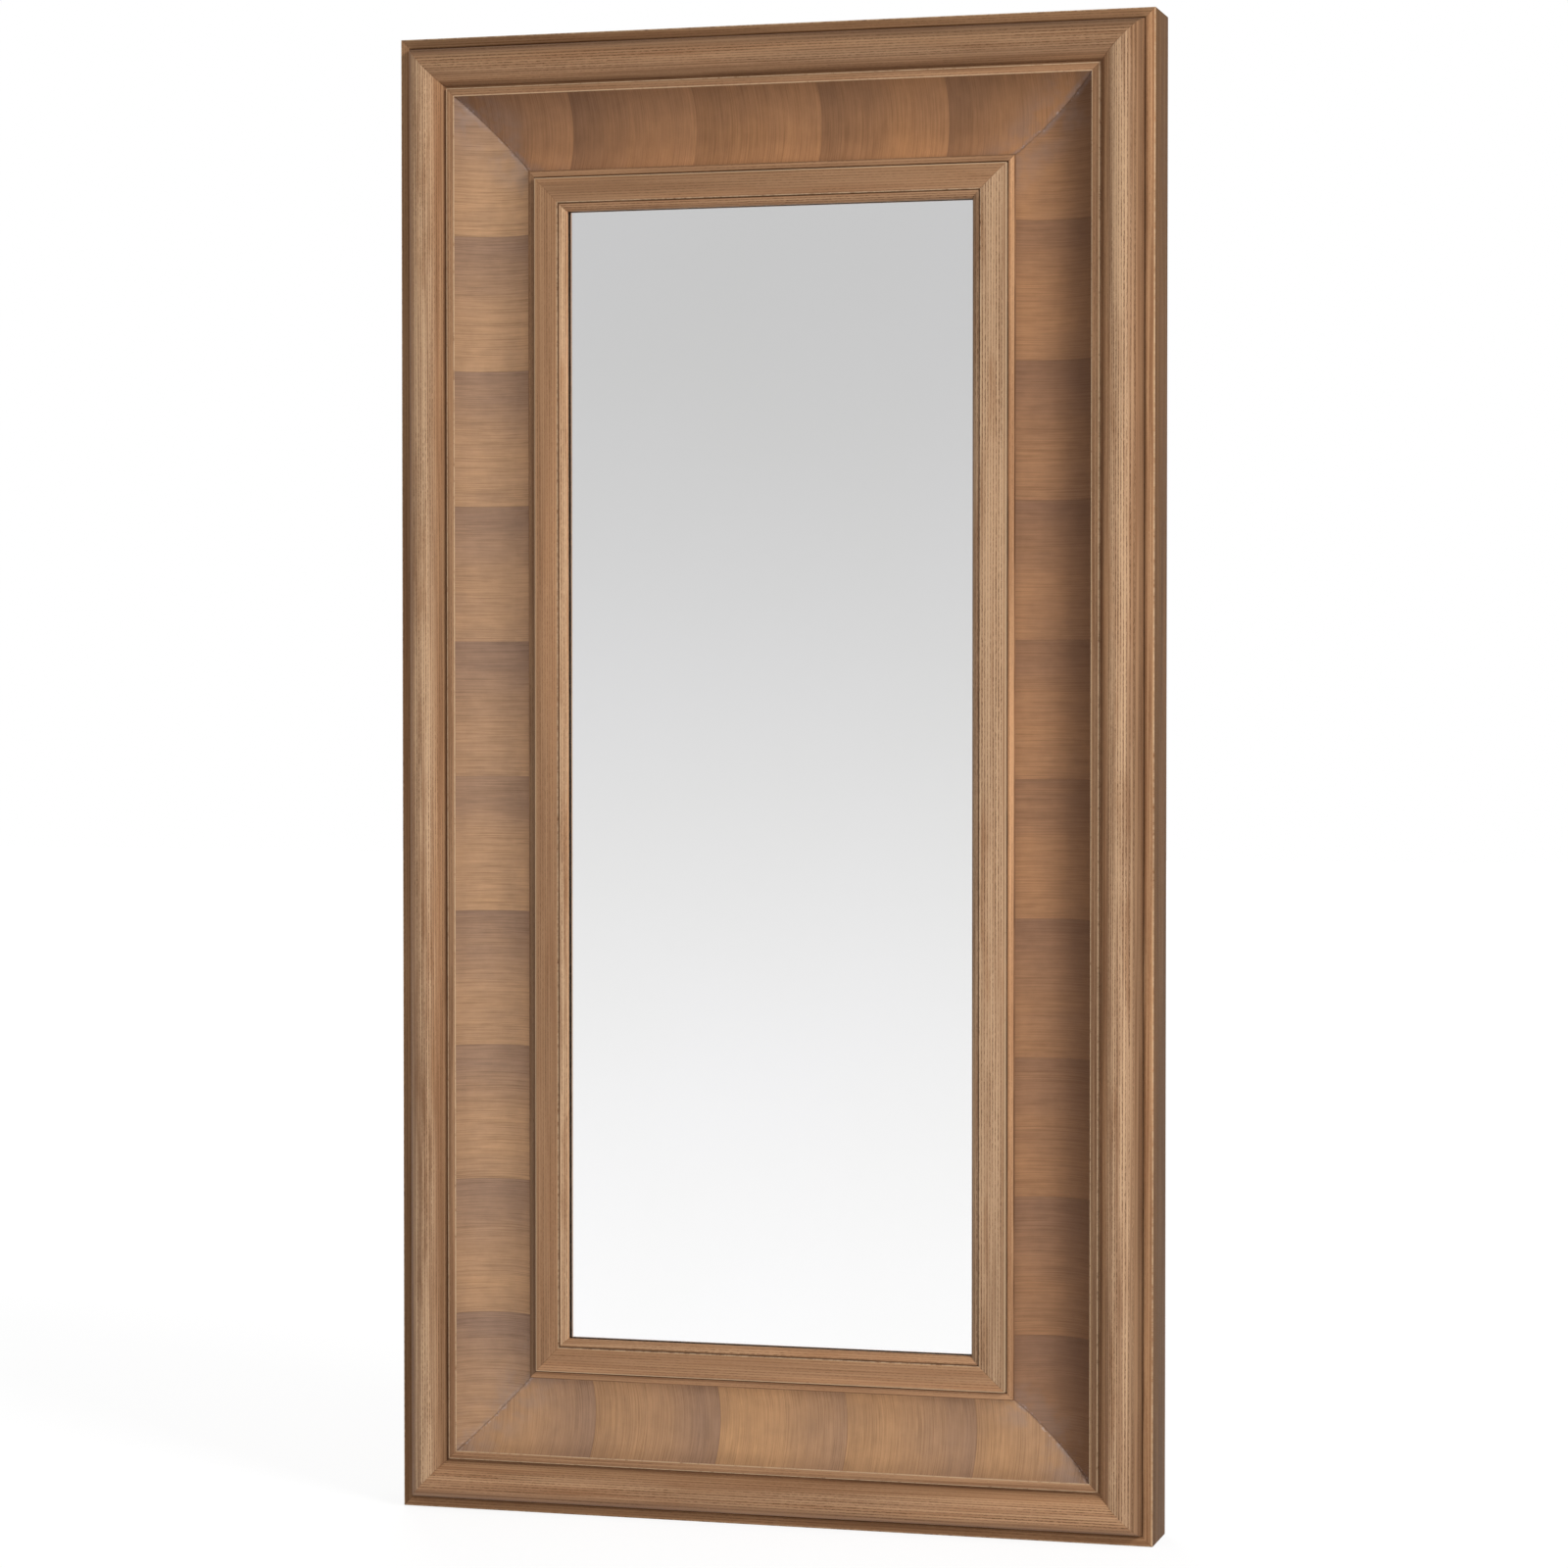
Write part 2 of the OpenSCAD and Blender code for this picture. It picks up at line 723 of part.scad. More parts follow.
hanger_strap("right");  // hanger_strap_right
hanging_ring("left");  // hanging_ring_left
hanging_ring("right");  // hanging_ring_right
wall_bumpers();
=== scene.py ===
import json
from math import asin, atan2, cos, degrees, hypot, radians, sin, sqrt

import bpy
from mathutils import Matrix, Vector

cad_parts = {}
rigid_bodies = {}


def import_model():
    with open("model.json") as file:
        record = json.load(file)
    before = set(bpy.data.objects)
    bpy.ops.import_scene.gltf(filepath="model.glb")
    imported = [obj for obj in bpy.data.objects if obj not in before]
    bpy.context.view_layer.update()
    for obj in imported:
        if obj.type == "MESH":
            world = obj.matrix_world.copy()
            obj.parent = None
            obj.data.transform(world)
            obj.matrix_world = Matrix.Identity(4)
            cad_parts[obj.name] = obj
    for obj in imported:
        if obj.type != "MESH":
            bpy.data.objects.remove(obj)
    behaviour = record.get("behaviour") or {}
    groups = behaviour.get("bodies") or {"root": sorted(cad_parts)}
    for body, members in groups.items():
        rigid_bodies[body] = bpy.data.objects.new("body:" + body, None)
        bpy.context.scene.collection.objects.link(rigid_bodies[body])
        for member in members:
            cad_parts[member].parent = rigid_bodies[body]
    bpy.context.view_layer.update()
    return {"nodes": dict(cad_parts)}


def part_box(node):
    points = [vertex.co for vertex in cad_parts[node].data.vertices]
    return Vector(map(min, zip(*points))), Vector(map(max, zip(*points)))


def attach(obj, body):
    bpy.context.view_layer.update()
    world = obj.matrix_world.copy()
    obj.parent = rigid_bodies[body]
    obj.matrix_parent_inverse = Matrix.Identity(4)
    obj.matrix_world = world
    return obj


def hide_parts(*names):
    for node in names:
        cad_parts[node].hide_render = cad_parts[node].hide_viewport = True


# Tall mirror in a deep brown frame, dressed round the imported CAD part.
# Metres, +Z up, the glass faces -Y, origin on the floor under the middle of the mirror.
# Sections are in mm: the inset from the frame's outer edge, then the depth behind the edge board's face.

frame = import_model()
scene = bpy.context.scene
bpy.ops.object.select_all(action="DESELECT")
print("frame loaded:", len(frame["nodes"]), "nodes")

overall = {
    "width": 0.990,
    "height": 1.905,
    "faceToMiddle": 0.034,    # depth of the box's middle behind the edge board's face
}
meeting = {"edge": 12.5, "hollow": 77.5, "bead": 175.5, "sight": 229}    # insets where one form meets the next
halfWidth = overall["width"] / 2
halfHeight = overall["height"] / 2
sides = ("left", "right", "top", "bottom")
barLength = {
    "left": overall["height"], "right": overall["height"],
    "top": overall["width"], "bottom": overall["width"],
}


# Places on the frame

def onFrame(side, inset, depth, along):    # all in metres, along from the bar's end
    y = depth - overall["faceToMiddle"]
    if side == "left":
        return Vector((inset - halfWidth, y, along))
    if side == "right":
        return Vector((halfWidth - inset, y, along))
    if side == "top":
        return Vector((along - halfWidth, y, overall["height"] - inset))
    return Vector((along - halfWidth, y, inset))


def directions(side):    # those in which the inset and the place along the bar grow
    start = onFrame(side, 0, 0, 0)
    return onFrame(side, 1, 0, 0) - start, onFrame(side, 0, 0, 1) - start


def arcPoints(centre, radius, start, end, count):    # degrees, from the inset axis towards the depth axis
    step = (end - start) / (count - 1)
    angles = [radians(start + i * step) for i in range(count)]
    return [(centre[0] + radius * cos(a), centre[1] + radius * sin(a)) for a in angles]


# Modelling

modelling = {
    "dot": 0.001,    # a plane this big is merged to the point that an outline starts from
    "arrisAngle": 32,    # edges sharper than this many degrees are rounded
    "arrisSegments": 3,
    "smoothAngle": 38,
}


def startEditing(name):
    obj = bpy.context.object
    obj.name = name
    obj.data.name = name
    bpy.ops.object.mode_set(mode="EDIT")
    return obj


def stopEditing():
    bpy.ops.object.mode_set(mode="OBJECT")


def applyAll(obj):
    bpy.context.view_layer.objects.active = obj
    for modifier in list(obj.modifiers):
        bpy.ops.object.modifier_apply(modifier=modifier.name)


def roundArrises(obj, width, segments=modelling["arrisSegments"]):
    bevel = obj.modifiers.new("arrises", "BEVEL")
    bevel.width = width
    bevel.segments = segments
    bevel.limit_method = "ANGLE"
    bevel.angle_limit = radians(modelling["arrisAngle"])
    bevel.use_clamp_overlap = True
    applyAll(obj)


def smooth(obj, angle=modelling["smoothAngle"]):
    bpy.ops.object.select_all(action="DESELECT")
    obj.select_set(True)
    bpy.context.view_layer.objects.active = obj
    bpy.ops.object.shade_smooth_by_angle(angle=radians(angle))
    obj.select_set(False)


# The next five work in edit mode

def faceOutwards():
    bpy.ops.mesh.select_all(action="SELECT")
    bpy.ops.mesh.normals_make_consistent(inside=False)


def cutMitres(side):
    inward, onward = directions(side)
    for end, normal in ((0, inward - onward), (barLength[side], inward + onward)):
        bpy.ops.mesh.select_all(action="SELECT")
        bpy.ops.mesh.bisect(
            plane_co=onFrame(side, 0, 0, end), plane_no=normal.normalized(),
            use_fill=True, clear_outer=True)


def drawLine(points):    # from the selected vertex, which is the first of the points
    for here, there in zip(points, points[1:]):
        bpy.ops.mesh.extrude_vertices_move(TRANSFORM_OT_translate={"value": there - here})


def drawSection(side, outline, along):    # a face through the outline's points
    points = [onFrame(side, x / 1000, y / 1000, along) for x, y in outline]
    bpy.ops.mesh.select_all(action="DESELECT")
    bpy.ops.mesh.primitive_plane_add(size=modelling["dot"], location=points[0])
    bpy.ops.mesh.merge(type="CENTER")
    drawLine(points)
    bpy.ops.mesh.select_linked()
    bpy.ops.mesh.edge_face_add()


def drawLengths(side, outline, spans):    # one closed length of the section for each span
    onward = directions(side)[1]
    for begin, end in spans:
        drawSection(side, outline, begin)
        bpy.ops.mesh.extrude_region_move(TRANSFORM_OT_translate={"value": onward * (end - begin)})
    faceOutwards()
    cutMitres(side)
    faceOutwards()


def finishPiece(obj, nodeName):
    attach(obj, "frame")
    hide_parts(nodeName)
    obj.select_set(False)


# One bar of the frame, mitred at both ends, from its section to its finish
def makeBar(name, side, outline, spans, arris, material, nodeName, segments=modelling["arrisSegments"]):
    bpy.ops.object.select_all(action="DESELECT")
    bpy.ops.mesh.primitive_plane_add(size=modelling["dot"])
    piece = startEditing(name + side.capitalize())
    bpy.ops.mesh.delete(type="VERT")
    drawLengths(side, outline, spans)
    stopEditing()
    roundArrises(piece, arris, segments)
    smooth(piece)
    piece.data.materials.append(material)
    finishPiece(piece, nodeName + "_" + side)


# Node helpers

def plug(tree, value, socket):    # links an output, or sets a plain value
    if isinstance(value, bpy.types.NodeSocket):
        tree.links.new(value, socket)
    else:
        socket.default_value = value


def addNode(tree, kind, inputs=None, **settings):
    made = tree.nodes.new("ShaderNode" + kind)
    for key, value in settings.items():
        setattr(made, key, value)
    for key, value in (inputs or {}).items():
        plug(tree, value, made.inputs[key])
    return made


def calc(tree, operation, *values, clamp=False):
    return addNode(tree, "Math", dict(enumerate(values)), operation=operation, use_clamp=clamp).outputs[0]


def times(tree, a, b):
    return calc(tree, "MULTIPLY", a, b)


def plus(tree, a, b):
    return calc(tree, "ADD", a, b)


def distance(tree, a, b):
    return calc(tree, "ABSOLUTE", calc(tree, "SUBTRACT", a, b))


def fade(tree, value, low, high, toLow=0.0, toHigh=1.0, smoothly=True):
    made = addNode(tree, "MapRange", {
        "Value": value, "From Min": low, "From Max": high, "To Min": toLow, "To Max": toHigh,
    }, interpolation_type="SMOOTHSTEP" if smoothly else "LINEAR")
    return made.outputs[0]


def between(tree, share, a, b):    # a where the share is 0, b where it is 1
    return fade(tree, share, 0, 1, a, b, smoothly=False)


def blendColour(tree, factor, a, b, mode="MIX"):
    made = addNode(
        tree, "Mix", {0: factor, 6: a, 7: b}, data_type="RGBA", blend_type=mode, clamp_factor=True)
    return made.outputs[2]


def multiplied(tree, colour, factors):
    return blendColour(tree, 1.0, colour, factors, "MULTIPLY")


def toned(tree, colour, amount):    # lightens or darkens a colour by a value in the tree
    return multiplied(tree, colour, addNode(tree, "CombineXYZ", dict.fromkeys("XYZ", amount)).outputs[0])


def stretched(tree, vector, factors):
    return addNode(tree, "VectorMath", {0: vector, 1: factors}, operation="MULTIPLY").outputs[0]


def noise(tree, vector, scale, detail=2.0, rough=0.5, distortion=0.0, stretch=None):
    if stretch:
        vector = stretched(tree, vector, stretch)
    made = addNode(tree, "TexNoise", {
        "Vector": vector, "Scale": scale, "Detail": detail, "Roughness": rough, "Distortion": distortion,
    })
    return made.outputs[0]


seedStep = {"X": 3.71, "Y": 1.37, "Z": 7.13}    # how far a seed of 1 moves a pattern


def shifted(tree, vector, seed):    # moves a pattern by a seed, so that no two bars match
    offset = addNode(tree, "CombineXYZ", {axis: times(tree, seed, step) for axis, step in seedStep.items()})
    return addNode(tree, "VectorMath", {0: vector, 1: offset.outputs[0]}, operation="ADD").outputs[0]


def newGroup(name, inputs, outputs):
    tree = bpy.data.node_groups.new(name, "ShaderNodeTree")
    for label, kind, value in inputs:
        socket = tree.interface.new_socket(name=label, in_out="INPUT", socket_type="NodeSocket" + kind)
        if value is not None:
            socket.default_value = value
    for label in outputs:
        tree.interface.new_socket(name=label, in_out="OUTPUT", socket_type="NodeSocketFloat")
    return tree, tree.nodes.new("NodeGroupInput").outputs, tree.nodes.new("NodeGroupOutput").inputs


def useGroup(tree, group, inputs):
    return addNode(tree, "Group", inputs, node_tree=group).outputs


def newMaterial(name):
    material = bpy.data.materials.new(name)
    material.use_nodes = True
    shader = material.node_tree.nodes["Principled BSDF"]
    return material, material.node_tree, shader


def sRgb(red, green, blue):    # 0-255 as read off a screen, to the linear values that nodes take
    def linear(v):
        v /= 255
        return v / 12.92 if v <= 0.04045 else ((v + 0.055) / 1.055) ** 2.4
    return (linear(red), linear(green), linear(blue), 1.0)


def bumpFrom(tree, shader, height, strength, depth):
    made = addNode(tree, "Bump", {"Strength": strength, "Distance": depth, "Height": height})
    plug(tree, made.outputs[0], shader.inputs["Normal"])


# Shared effects

# Grain of a turned or planed bar: slow figure, growth rings, limed streaks and fine pores, all drawn out along Z
grainLook = {
    "figure": {"scale": 34, "rough": 0.5, "distortion": 0.1, "stretch": (1, 1, 0.05)},
    "rings": {"scale": 240, "rough": 0.6, "distortion": 0.2, "stretch": (1, 1, 0.012)},
    "patches": {"scale": 60, "detail": 3, "rough": 0.55, "stretch": (1, 1, 0.10)},    # where the streaks lie
    "dashes": {"scale": 560, "rough": 0.65, "stretch": (1, 1, 0.34)},    # lengths that a row of pores breaks into
    "strong": {"scale": 110, "stretch": (1, 1, 0.05)},    # where the pores are deepest
    "rows": {"Scale": 98.0, "Distortion": 3.2, "Detail": 2.0, "Detail Scale": 80.0, "Detail Roughness": 0.5},
    "rowStretch": 0.03,
    "rowsAcrossDepth": 0.4,    # the rows also cross the sides of a bar
    "fades": {    # from and to values of each pattern, then what they become
        "figure": (0.30, 0.70), "rings": (0.36, 0.64), "limed": (0.30, 0.60, 0.45, 1.0), "patches": (0.2, 0.55),
        "dashes": (0.34, 0.58, 0.35, 1.0), "strong": (0.32, 0.66, 0.5, 1.0), "rows": (0.02, 0.50, 1.0, 0.0),
    },
}
grainGroup, gIn, gOut = newGroup(
    "ashGrain", [("Vector", "Vector", None), ("Seed", "Float", 0.0)], ["Figure", "Rings", "Streaks", "Pores"])
moved = shifted(grainGroup, gIn["Vector"], gIn["Seed"])
figure, rings, patches, dashes, strong = (
    noise(grainGroup, moved, **grainLook[key]) for key in ("figure", "rings", "patches", "dashes", "strong"))
faded = {
    key: fade(grainGroup, pattern, *grainLook["fades"][key]) for key, pattern in (
        ("figure", figure), ("rings", rings), ("limed", rings), ("patches", patches),
        ("dashes", dashes), ("strong", strong))
}
split = addNode(grainGroup, "SeparateXYZ", {"Vector": moved}).outputs
rowVector = addNode(grainGroup, "CombineXYZ", {
    "X": plus(grainGroup, split[0], times(grainGroup, split[1], grainLook["rowsAcrossDepth"])),
    "Y": split[1], "Z": times(grainGroup, split[2], grainLook["rowStretch"]),
}).outputs[0]
rows = addNode(
    grainGroup, "TexWave", {"Vector": rowVector, **grainLook["rows"]},
    wave_type="BANDS", bands_direction="X", wave_profile="SIN").outputs["Fac"]
rows = fade(grainGroup, rows, *grainLook["fades"]["rows"])
for name, value in (
        ("Figure", faded["figure"]), ("Rings", faded["rings"]),
        ("Streaks", times(grainGroup, faded["limed"], faded["patches"])),
        ("Pores", times(grainGroup, rows, times(grainGroup, faded["dashes"], faded["strong"])))):
    plug(grainGroup, value, gOut[name])

# A line at one inset where the finish is rubbed through, in broken lengths
arrisLook = {
    "breaks": {"scale": 130, "detail": 4, "rough": 0.7, "stretch": (0.2, 0.2, 1)},
    "threshold": 0.62, "contrast": 4.0, "softness": 0.7,
}
arrisGroup, gIn, gOut = newGroup(
    "rubbedArris",
    [("Vector", "Vector", None), ("Inset", "Float", 0.0), ("Place", "Float", 0.0),
     ("Reach", "Float", 0.001), ("Cover", "Float", 0.5), ("Seed", "Float", 0.0)],
    ["Mask"])
away = calc(arrisGroup, "DIVIDE", distance(arrisGroup, gIn["Inset"], gIn["Place"]), gIn["Reach"])
near = calc(arrisGroup, "SUBTRACT", 1.0, away, clamp=True)
broken = noise(arrisGroup, shifted(arrisGroup, gIn["Vector"], gIn["Seed"]), **arrisLook["breaks"])
edge = times(arrisGroup, calc(arrisGroup, "SUBTRACT", 1.0, gIn["Cover"]), arrisLook["threshold"])
shown = calc(
    arrisGroup, "MULTIPLY", calc(arrisGroup, "SUBTRACT", broken, edge), arrisLook["contrast"], clamp=True)
near = calc(arrisGroup, "POWER", near, arrisLook["softness"])
plug(arrisGroup, times(arrisGroup, near, shown), gOut["Mask"])

# Dark glaze in a quirk or groove, partly painted shade where the groove lies in shade
glazeShadeLook = {
    "uneven": {"scale": 40, "detail": 3, "stretch": (1, 1, 0.3)},
    "fade": (0.3, 0.65, 0.55, 1.0),
}
glazeShadeGroup, gIn, gOut = newGroup(
    "quirkGlazeAndShade",
    [("Vector", "Vector", None), ("Inset", "Float", 0.0), ("Place", "Float", 0.0),
     ("Reach", "Float", 0.002), ("Seed", "Float", 0.0)],
    ["Mask"])
away = calc(glazeShadeGroup, "DIVIDE", distance(glazeShadeGroup, gIn["Inset"], gIn["Place"]), gIn["Reach"])
near = fade(glazeShadeGroup, away, 0.0, 1.0, 1.0, 0.0)
uneven = noise(glazeShadeGroup, shifted(glazeShadeGroup, gIn["Vector"], gIn["Seed"]), **glazeShadeLook["uneven"])
plug(glazeShadeGroup, times(glazeShadeGroup, near, fade(glazeShadeGroup, uneven, *glazeShadeLook["fade"])), gOut["Mask"])


# X becomes the inset, Y stays as it is and Z becomes the place along the bar from its middle
turned = {
    "left": {"Location": (halfWidth, 0, -halfHeight)},
    "right": {"Location": (halfWidth, 0, -halfHeight), "Scale": (-1, 1, 1)},
    "top": {"Location": (overall["height"], 0, 0), "Rotation": (0, radians(-90), 0)},
    "bottom": {"Rotation": (0, radians(90), 0)},
}


def barCoordinates(tree, side):
    coordinates = addNode(tree, "TexCoord").outputs["Object"]
    turn = addNode(tree, "Mapping", {"Vector": coordinates, **turned[side]}, vector_type="POINT").outputs[0]
    split = addNode(tree, "SeparateXYZ", {"Vector": turn}).outputs
    return {"vector": turn, "inset": split[0], "y": split[1], "along": split[2]}


def zone(tree, value, low, high, softness):    # in mm: 1 between low and high, fading out over the softness
    low, high, softness = low / 1000, high / 1000, softness / 1000
    rise = fade(tree, value, low - softness, low + softness)
    fall = fade(tree, value, high - softness, high + softness, 1.0, 0.0)
    return times(tree, rise, fall)


# Brown ash, limed and glazed, with painted light and shade: one material for each bar, so that the grain runs
# along it
ash = {
    "dark": sRgb(142, 101, 70),
    "light": sRgb(172, 130, 94),
    "limeAndHighlight": sRgb(208, 174, 139),
    "pore": sRgb(96, 65, 43),
    "glazeAndShade": sRgb(82, 52, 31),
    "rubbed": sRgb(206, 176, 142),
    "rubbedStrength": 0.8,
    "slow": 0.12,    # how far the slow figure shades the colour
    "ringShare": {"left": 0.9, "right": 1.0, "top": 0.6, "bottom": 0.7},    # how strongly the rings show
    # lime on the crowns, partly a painted highlight: strong on the lit left and right crowns, faint on top and
    # bottom
    "limeAndHighlightOnCrown": {"left": 0.72, "right": 0.66, "top": 0.2, "bottom": 0.25},
    "limeElsewhere": 0.10,
    "poresOnCrown": 1.0,
    "poresElsewhere": 0.6,
    "poresOnFlank": 0.25,
    "foot": {"left": 0.82, "right": 0.82, "top": 1.0, "bottom": 1.0},    # painted shade: how much darker the bar is near the floor
    "footEnds": (-0.6, 0.3),    # from the middle of the bar's length
    "flank": (0.495, 0.46, 0.39, 1),    # how much of each colour is left on the plain outer sides, which are darker
    "flankEnds": (-0.0335, -0.0315),    # Y over which that darkening comes in
    "flankArrisEnds": (-0.0335, -0.0320),    # Y over which the rubbed arris goes out
    "rebate": sRgb(22, 16, 12),    # painted shadow, near black, on the face that lies on the glass and on the foot of the sight face, seen through the glass as a dark line
    "rebateEnds": ((-0.0370, -0.0360), (0.2160, 0.2168)),    # Y and inset over which it begins
    "roughness": 0.52,
    "poreRoughness": 0.2,
    "sheen": 0.22,    # specular level of the wax
    "flankSheen": 0.03,
    "ringRelief": 0.3,
    "relief": (0.3, 0.0002),
}
sideSeed = {"left": 1.0, "right": 2.3, "top": 3.7, "bottom": 5.2}


def ashGround(tree, side, grain, along, rings):    # growth rings and slow figure, with painted shade darker near the floor
    share = ash["ringShare"][side] * rings
    colour = blendColour(
        tree, between(tree, grain["Rings"], 0.5 - share / 2, 0.5 + share / 2), ash["dark"], ash["light"])
    colour = toned(tree, colour, fade(tree, grain["Figure"], 0, 1, 1 - ash["slow"], 1 + ash["slow"]))
    # painted shade, darker towards the floor
    return toned(tree, colour, fade(tree, along, *ash["footEnds"], ash["foot"][side], 1.0, smoothly=False))


def ashMaterial(name, side, finish, darkenedFlank=False, shadedRebate=False):
    material, tree, shader = newMaterial(name + side.capitalize())
    at = barCoordinates(tree, side)
    inset = at["inset"]
    seed = sideSeed[side] + finish["seed"]
    grain = useGroup(tree, grainGroup, {"Vector": at["vector"], "Seed": seed})
    colour = ashGround(tree, side, grain, at["along"], finish["rings"])
    limeAndHighlight, pores = ash["limeElsewhere"], ash["poresElsewhere"]
    if finish["crowns"]:    # lime fills the grain there, and the lighter crown is partly a painted highlight
        crown = zone(tree, inset, *finish["crowns"][side])
        limeAndHighlight = between(tree, crown, limeAndHighlight, ash["limeAndHighlightOnCrown"][side])
        pores = between(tree, crown, pores, ash["poresOnCrown"])
    if darkenedFlank:
        flank = fade(tree, at["y"], *ash["flankEnds"])
        pores = between(tree, flank, pores, ash["poresOnFlank"])
    colour = blendColour(tree, times(tree, grain["Streaks"], limeAndHighlight), colour, ash["limeAndHighlight"])
    colour = blendColour(tree, times(tree, grain["Pores"], pores), colour, ash["pore"])
    for low, high, softness, factors in finish["tones"]:    # painted light and shade by side, partly stain, from one inset to the next
        part = zone(tree, inset, low, high, softness)
        if darkenedFlank:
            part = times(tree, part, calc(tree, "SUBTRACT", 1.0, flank))
        colour = toned(tree, colour, fade(tree, part, 0, 1, 1.0, factors[sides.index(side)]))
    # the plain outer sides are darker
    if darkenedFlank:
        colour = blendColour(tree, flank, colour, multiplied(tree, colour, ash["flank"]))
    # painted shadow on the rebate face and the foot of the sight face
    if shadedRebate:
        ends = zip((at["y"], inset), ash["rebateEnds"])
        under = times(tree, *(fade(tree, value, *span) for value, span in ends))
        colour = blendColour(tree, under, colour, ash["rebate"])
    # glaze in the quirks and grooves, partly painted shade
    for place, reach, strength in finish["quirks"]:
        mask = useGroup(tree, glazeShadeGroup, {
            "Vector": at["vector"], "Inset": inset, "Place": place / 1000, "Reach": reach / 1000, "Seed": seed,
        })["Mask"]
        colour = blendColour(tree, times(tree, mask, strength), colour, ash["glazeAndShade"])
    for place, reach, cover in finish["rubbed"]:
        mask = useGroup(tree, arrisGroup, {
            "Vector": at["vector"], "Inset": inset, "Place": place / 1000, "Reach": reach / 1000,
            "Cover": cover, "Seed": seed + place,
        })["Mask"]
        if darkenedFlank:
            mask = times(tree, mask, fade(tree, at["y"], *ash["flankArrisEnds"], 1.0, 0.0))
        colour = blendColour(tree, times(tree, mask, ash["rubbedStrength"]), colour, ash["rubbed"])
    plug(tree, colour, shader.inputs["Base Color"])
    shader.inputs["Specular IOR Level"].default_value = ash["flankSheen"] if darkenedFlank else ash["sheen"]
    rough = fade(tree, grain["Pores"], 0, 1, ash["roughness"], ash["roughness"] + ash["poreRoughness"])
    plug(tree, rough, shader.inputs["Roughness"])
    height = calc(tree, "SUBTRACT", times(tree, grain["Rings"], ash["ringRelief"]), grain["Pores"])
    bumpFrom(tree, shader, height, *ash["relief"])
    return material


# Cross-grain veneer of the hollows: leaves shaded from one joint to the next, with lilac glaze at the mitres
veneer = {
    "dark": sRgb(126, 98, 80),
    "light": sRgb(176, 133, 93),
    "line": sRgb(112, 78, 53),
    "glazeAndShade": sRgb(80, 53, 36),
    "mitre": sRgb(148, 130, 122),
    "chalk": sRgb(188, 174, 170),
    "mitreTone": {"left": (1, 1, 1), "right": (0.7, 0.66, 0.64), "top": (0.7, 0.66, 0.64), "bottom": (1, 1, 1)},
    "tone": {    # each hollow's tone, as red, green and blue: partly stain, partly painted shade and light, as on the darker top and the lighter bottom
        "left": (1.02, 1.10, 1.26), "right": (0.79, 0.73, 0.73),
        "top": (0.74, 0.655, 0.61), "bottom": (1.14, 1.18, 1.24),
    },
    "lightness": 0.28,
    "slope": -0.62,    # how much darker a leaf is at one end
    "slopeWander": 0.9,
    "contrast": {"left": 0.85, "right": 0.75, "top": 0.55, "bottom": 0.9},
    "figureShare": 0.35, "cloudShare": 0.5, "leafShare": 0.22,    # how far each shades the leaves
    "oddLeaves": {"top": [(-1, 0.0, 0.1), (-3, -0.22, 0.8)]},    # leaf, how much lighter, share of the usual slope
    "paintedInnerLight": {"left": 1.22, "right": 1.0, "top": 1.34, "bottom": 1.08},    # painted light: how much lighter the inner edge is
    "liftFrom": 135,    # inset
    "lineStrength": 0.22,
    "seamWidth": 0.9,    # mm
    "seamStrength": 0.2,
    "edgeGlazeAndShade": {    # glaze and painted shade at the hollow's edges, the right's wide band standing for the half-round's shadow: reach in mm and strength at the outer edge, then the same at the inner edge
        "left": ((26, 0.102), (14, 0.170)), "right": ((85, 0.612), (10, 0.1275)),
        "top": ((60, 0.272), (8, 0.0425)), "bottom": ((20, 0.170), (8, 0.0425)),
    },
    "ragged": 0.006,    # how far the stain at a mitre wanders, in metres
    "roughness": 0.50, "roughnessEnds": (-0.06, 0.1),
    "sheen": 0.22,
    "rippleRelief": 0.3,
    "relief": (0.25, 0.0004),
    "seed": 10, "leafSeed": 3,
}
veneerPatterns = {
    "figure": {"scale": 48, "distortion": 0.2, "stretch": (0.10, 0.10, 1)},
    "ripple": {"scale": 880, "rough": 0.75, "stretch": (0.012, 0.012, 1)},
    "cloud": {"scale": 14, "detail": 3, "rough": 0.6},
    "mottle": {"scale": 45, "detail": 3, "rough": 0.6},
    "fineMottle": {"scale": 240, "rough": 0.6, "stretch": (0.12, 0.12, 1)},
    "jagged": {"scale": 120, "rough": 0.6},
    "patchy": {"scale": 24, "detail": 3, "rough": 0.6},
    "smoky": {"scale": 19, "detail": 3, "rough": 0.65},
    "chalk": {"scale": 230, "detail": 3, "rough": 0.7},
    "chalkPatches": {"scale": 32, "rough": 0.6},
}
veneerFades = {    # from and to values, then what they become; for the mitres, metres from the mitre
    "slope": (0.30, 1.05),
    "mottle": (0.70, 1.30, 0.91, 1.09),
    "ripple": (0.36, 0.64, 1.09, 0.91),
    "line": (0.54, 0.68),
    "roughness": (0.3, 0.7),
    "patchy": (0.40, 0.62, 0.05, 0.6),
    "nearMitre": (0.002, 0.0125, 1.0, 0.0),
    "smoky": (0.42, 0.66, 0.0, 0.4),
    "wideOfMitre": (0.010, 0.075, 1.0, 0.0),
    "chalk": (0.48, 0.62, 0.0, 0.7),
    "chalkPatches": (0.40, 0.60, 0.1, 1.0),
    "chalkLine": (0.0018, 0.0055, 1.0, 0.0),
    "mitreLine": (-0.001, 0.0030, 0.5, 0.0),
}
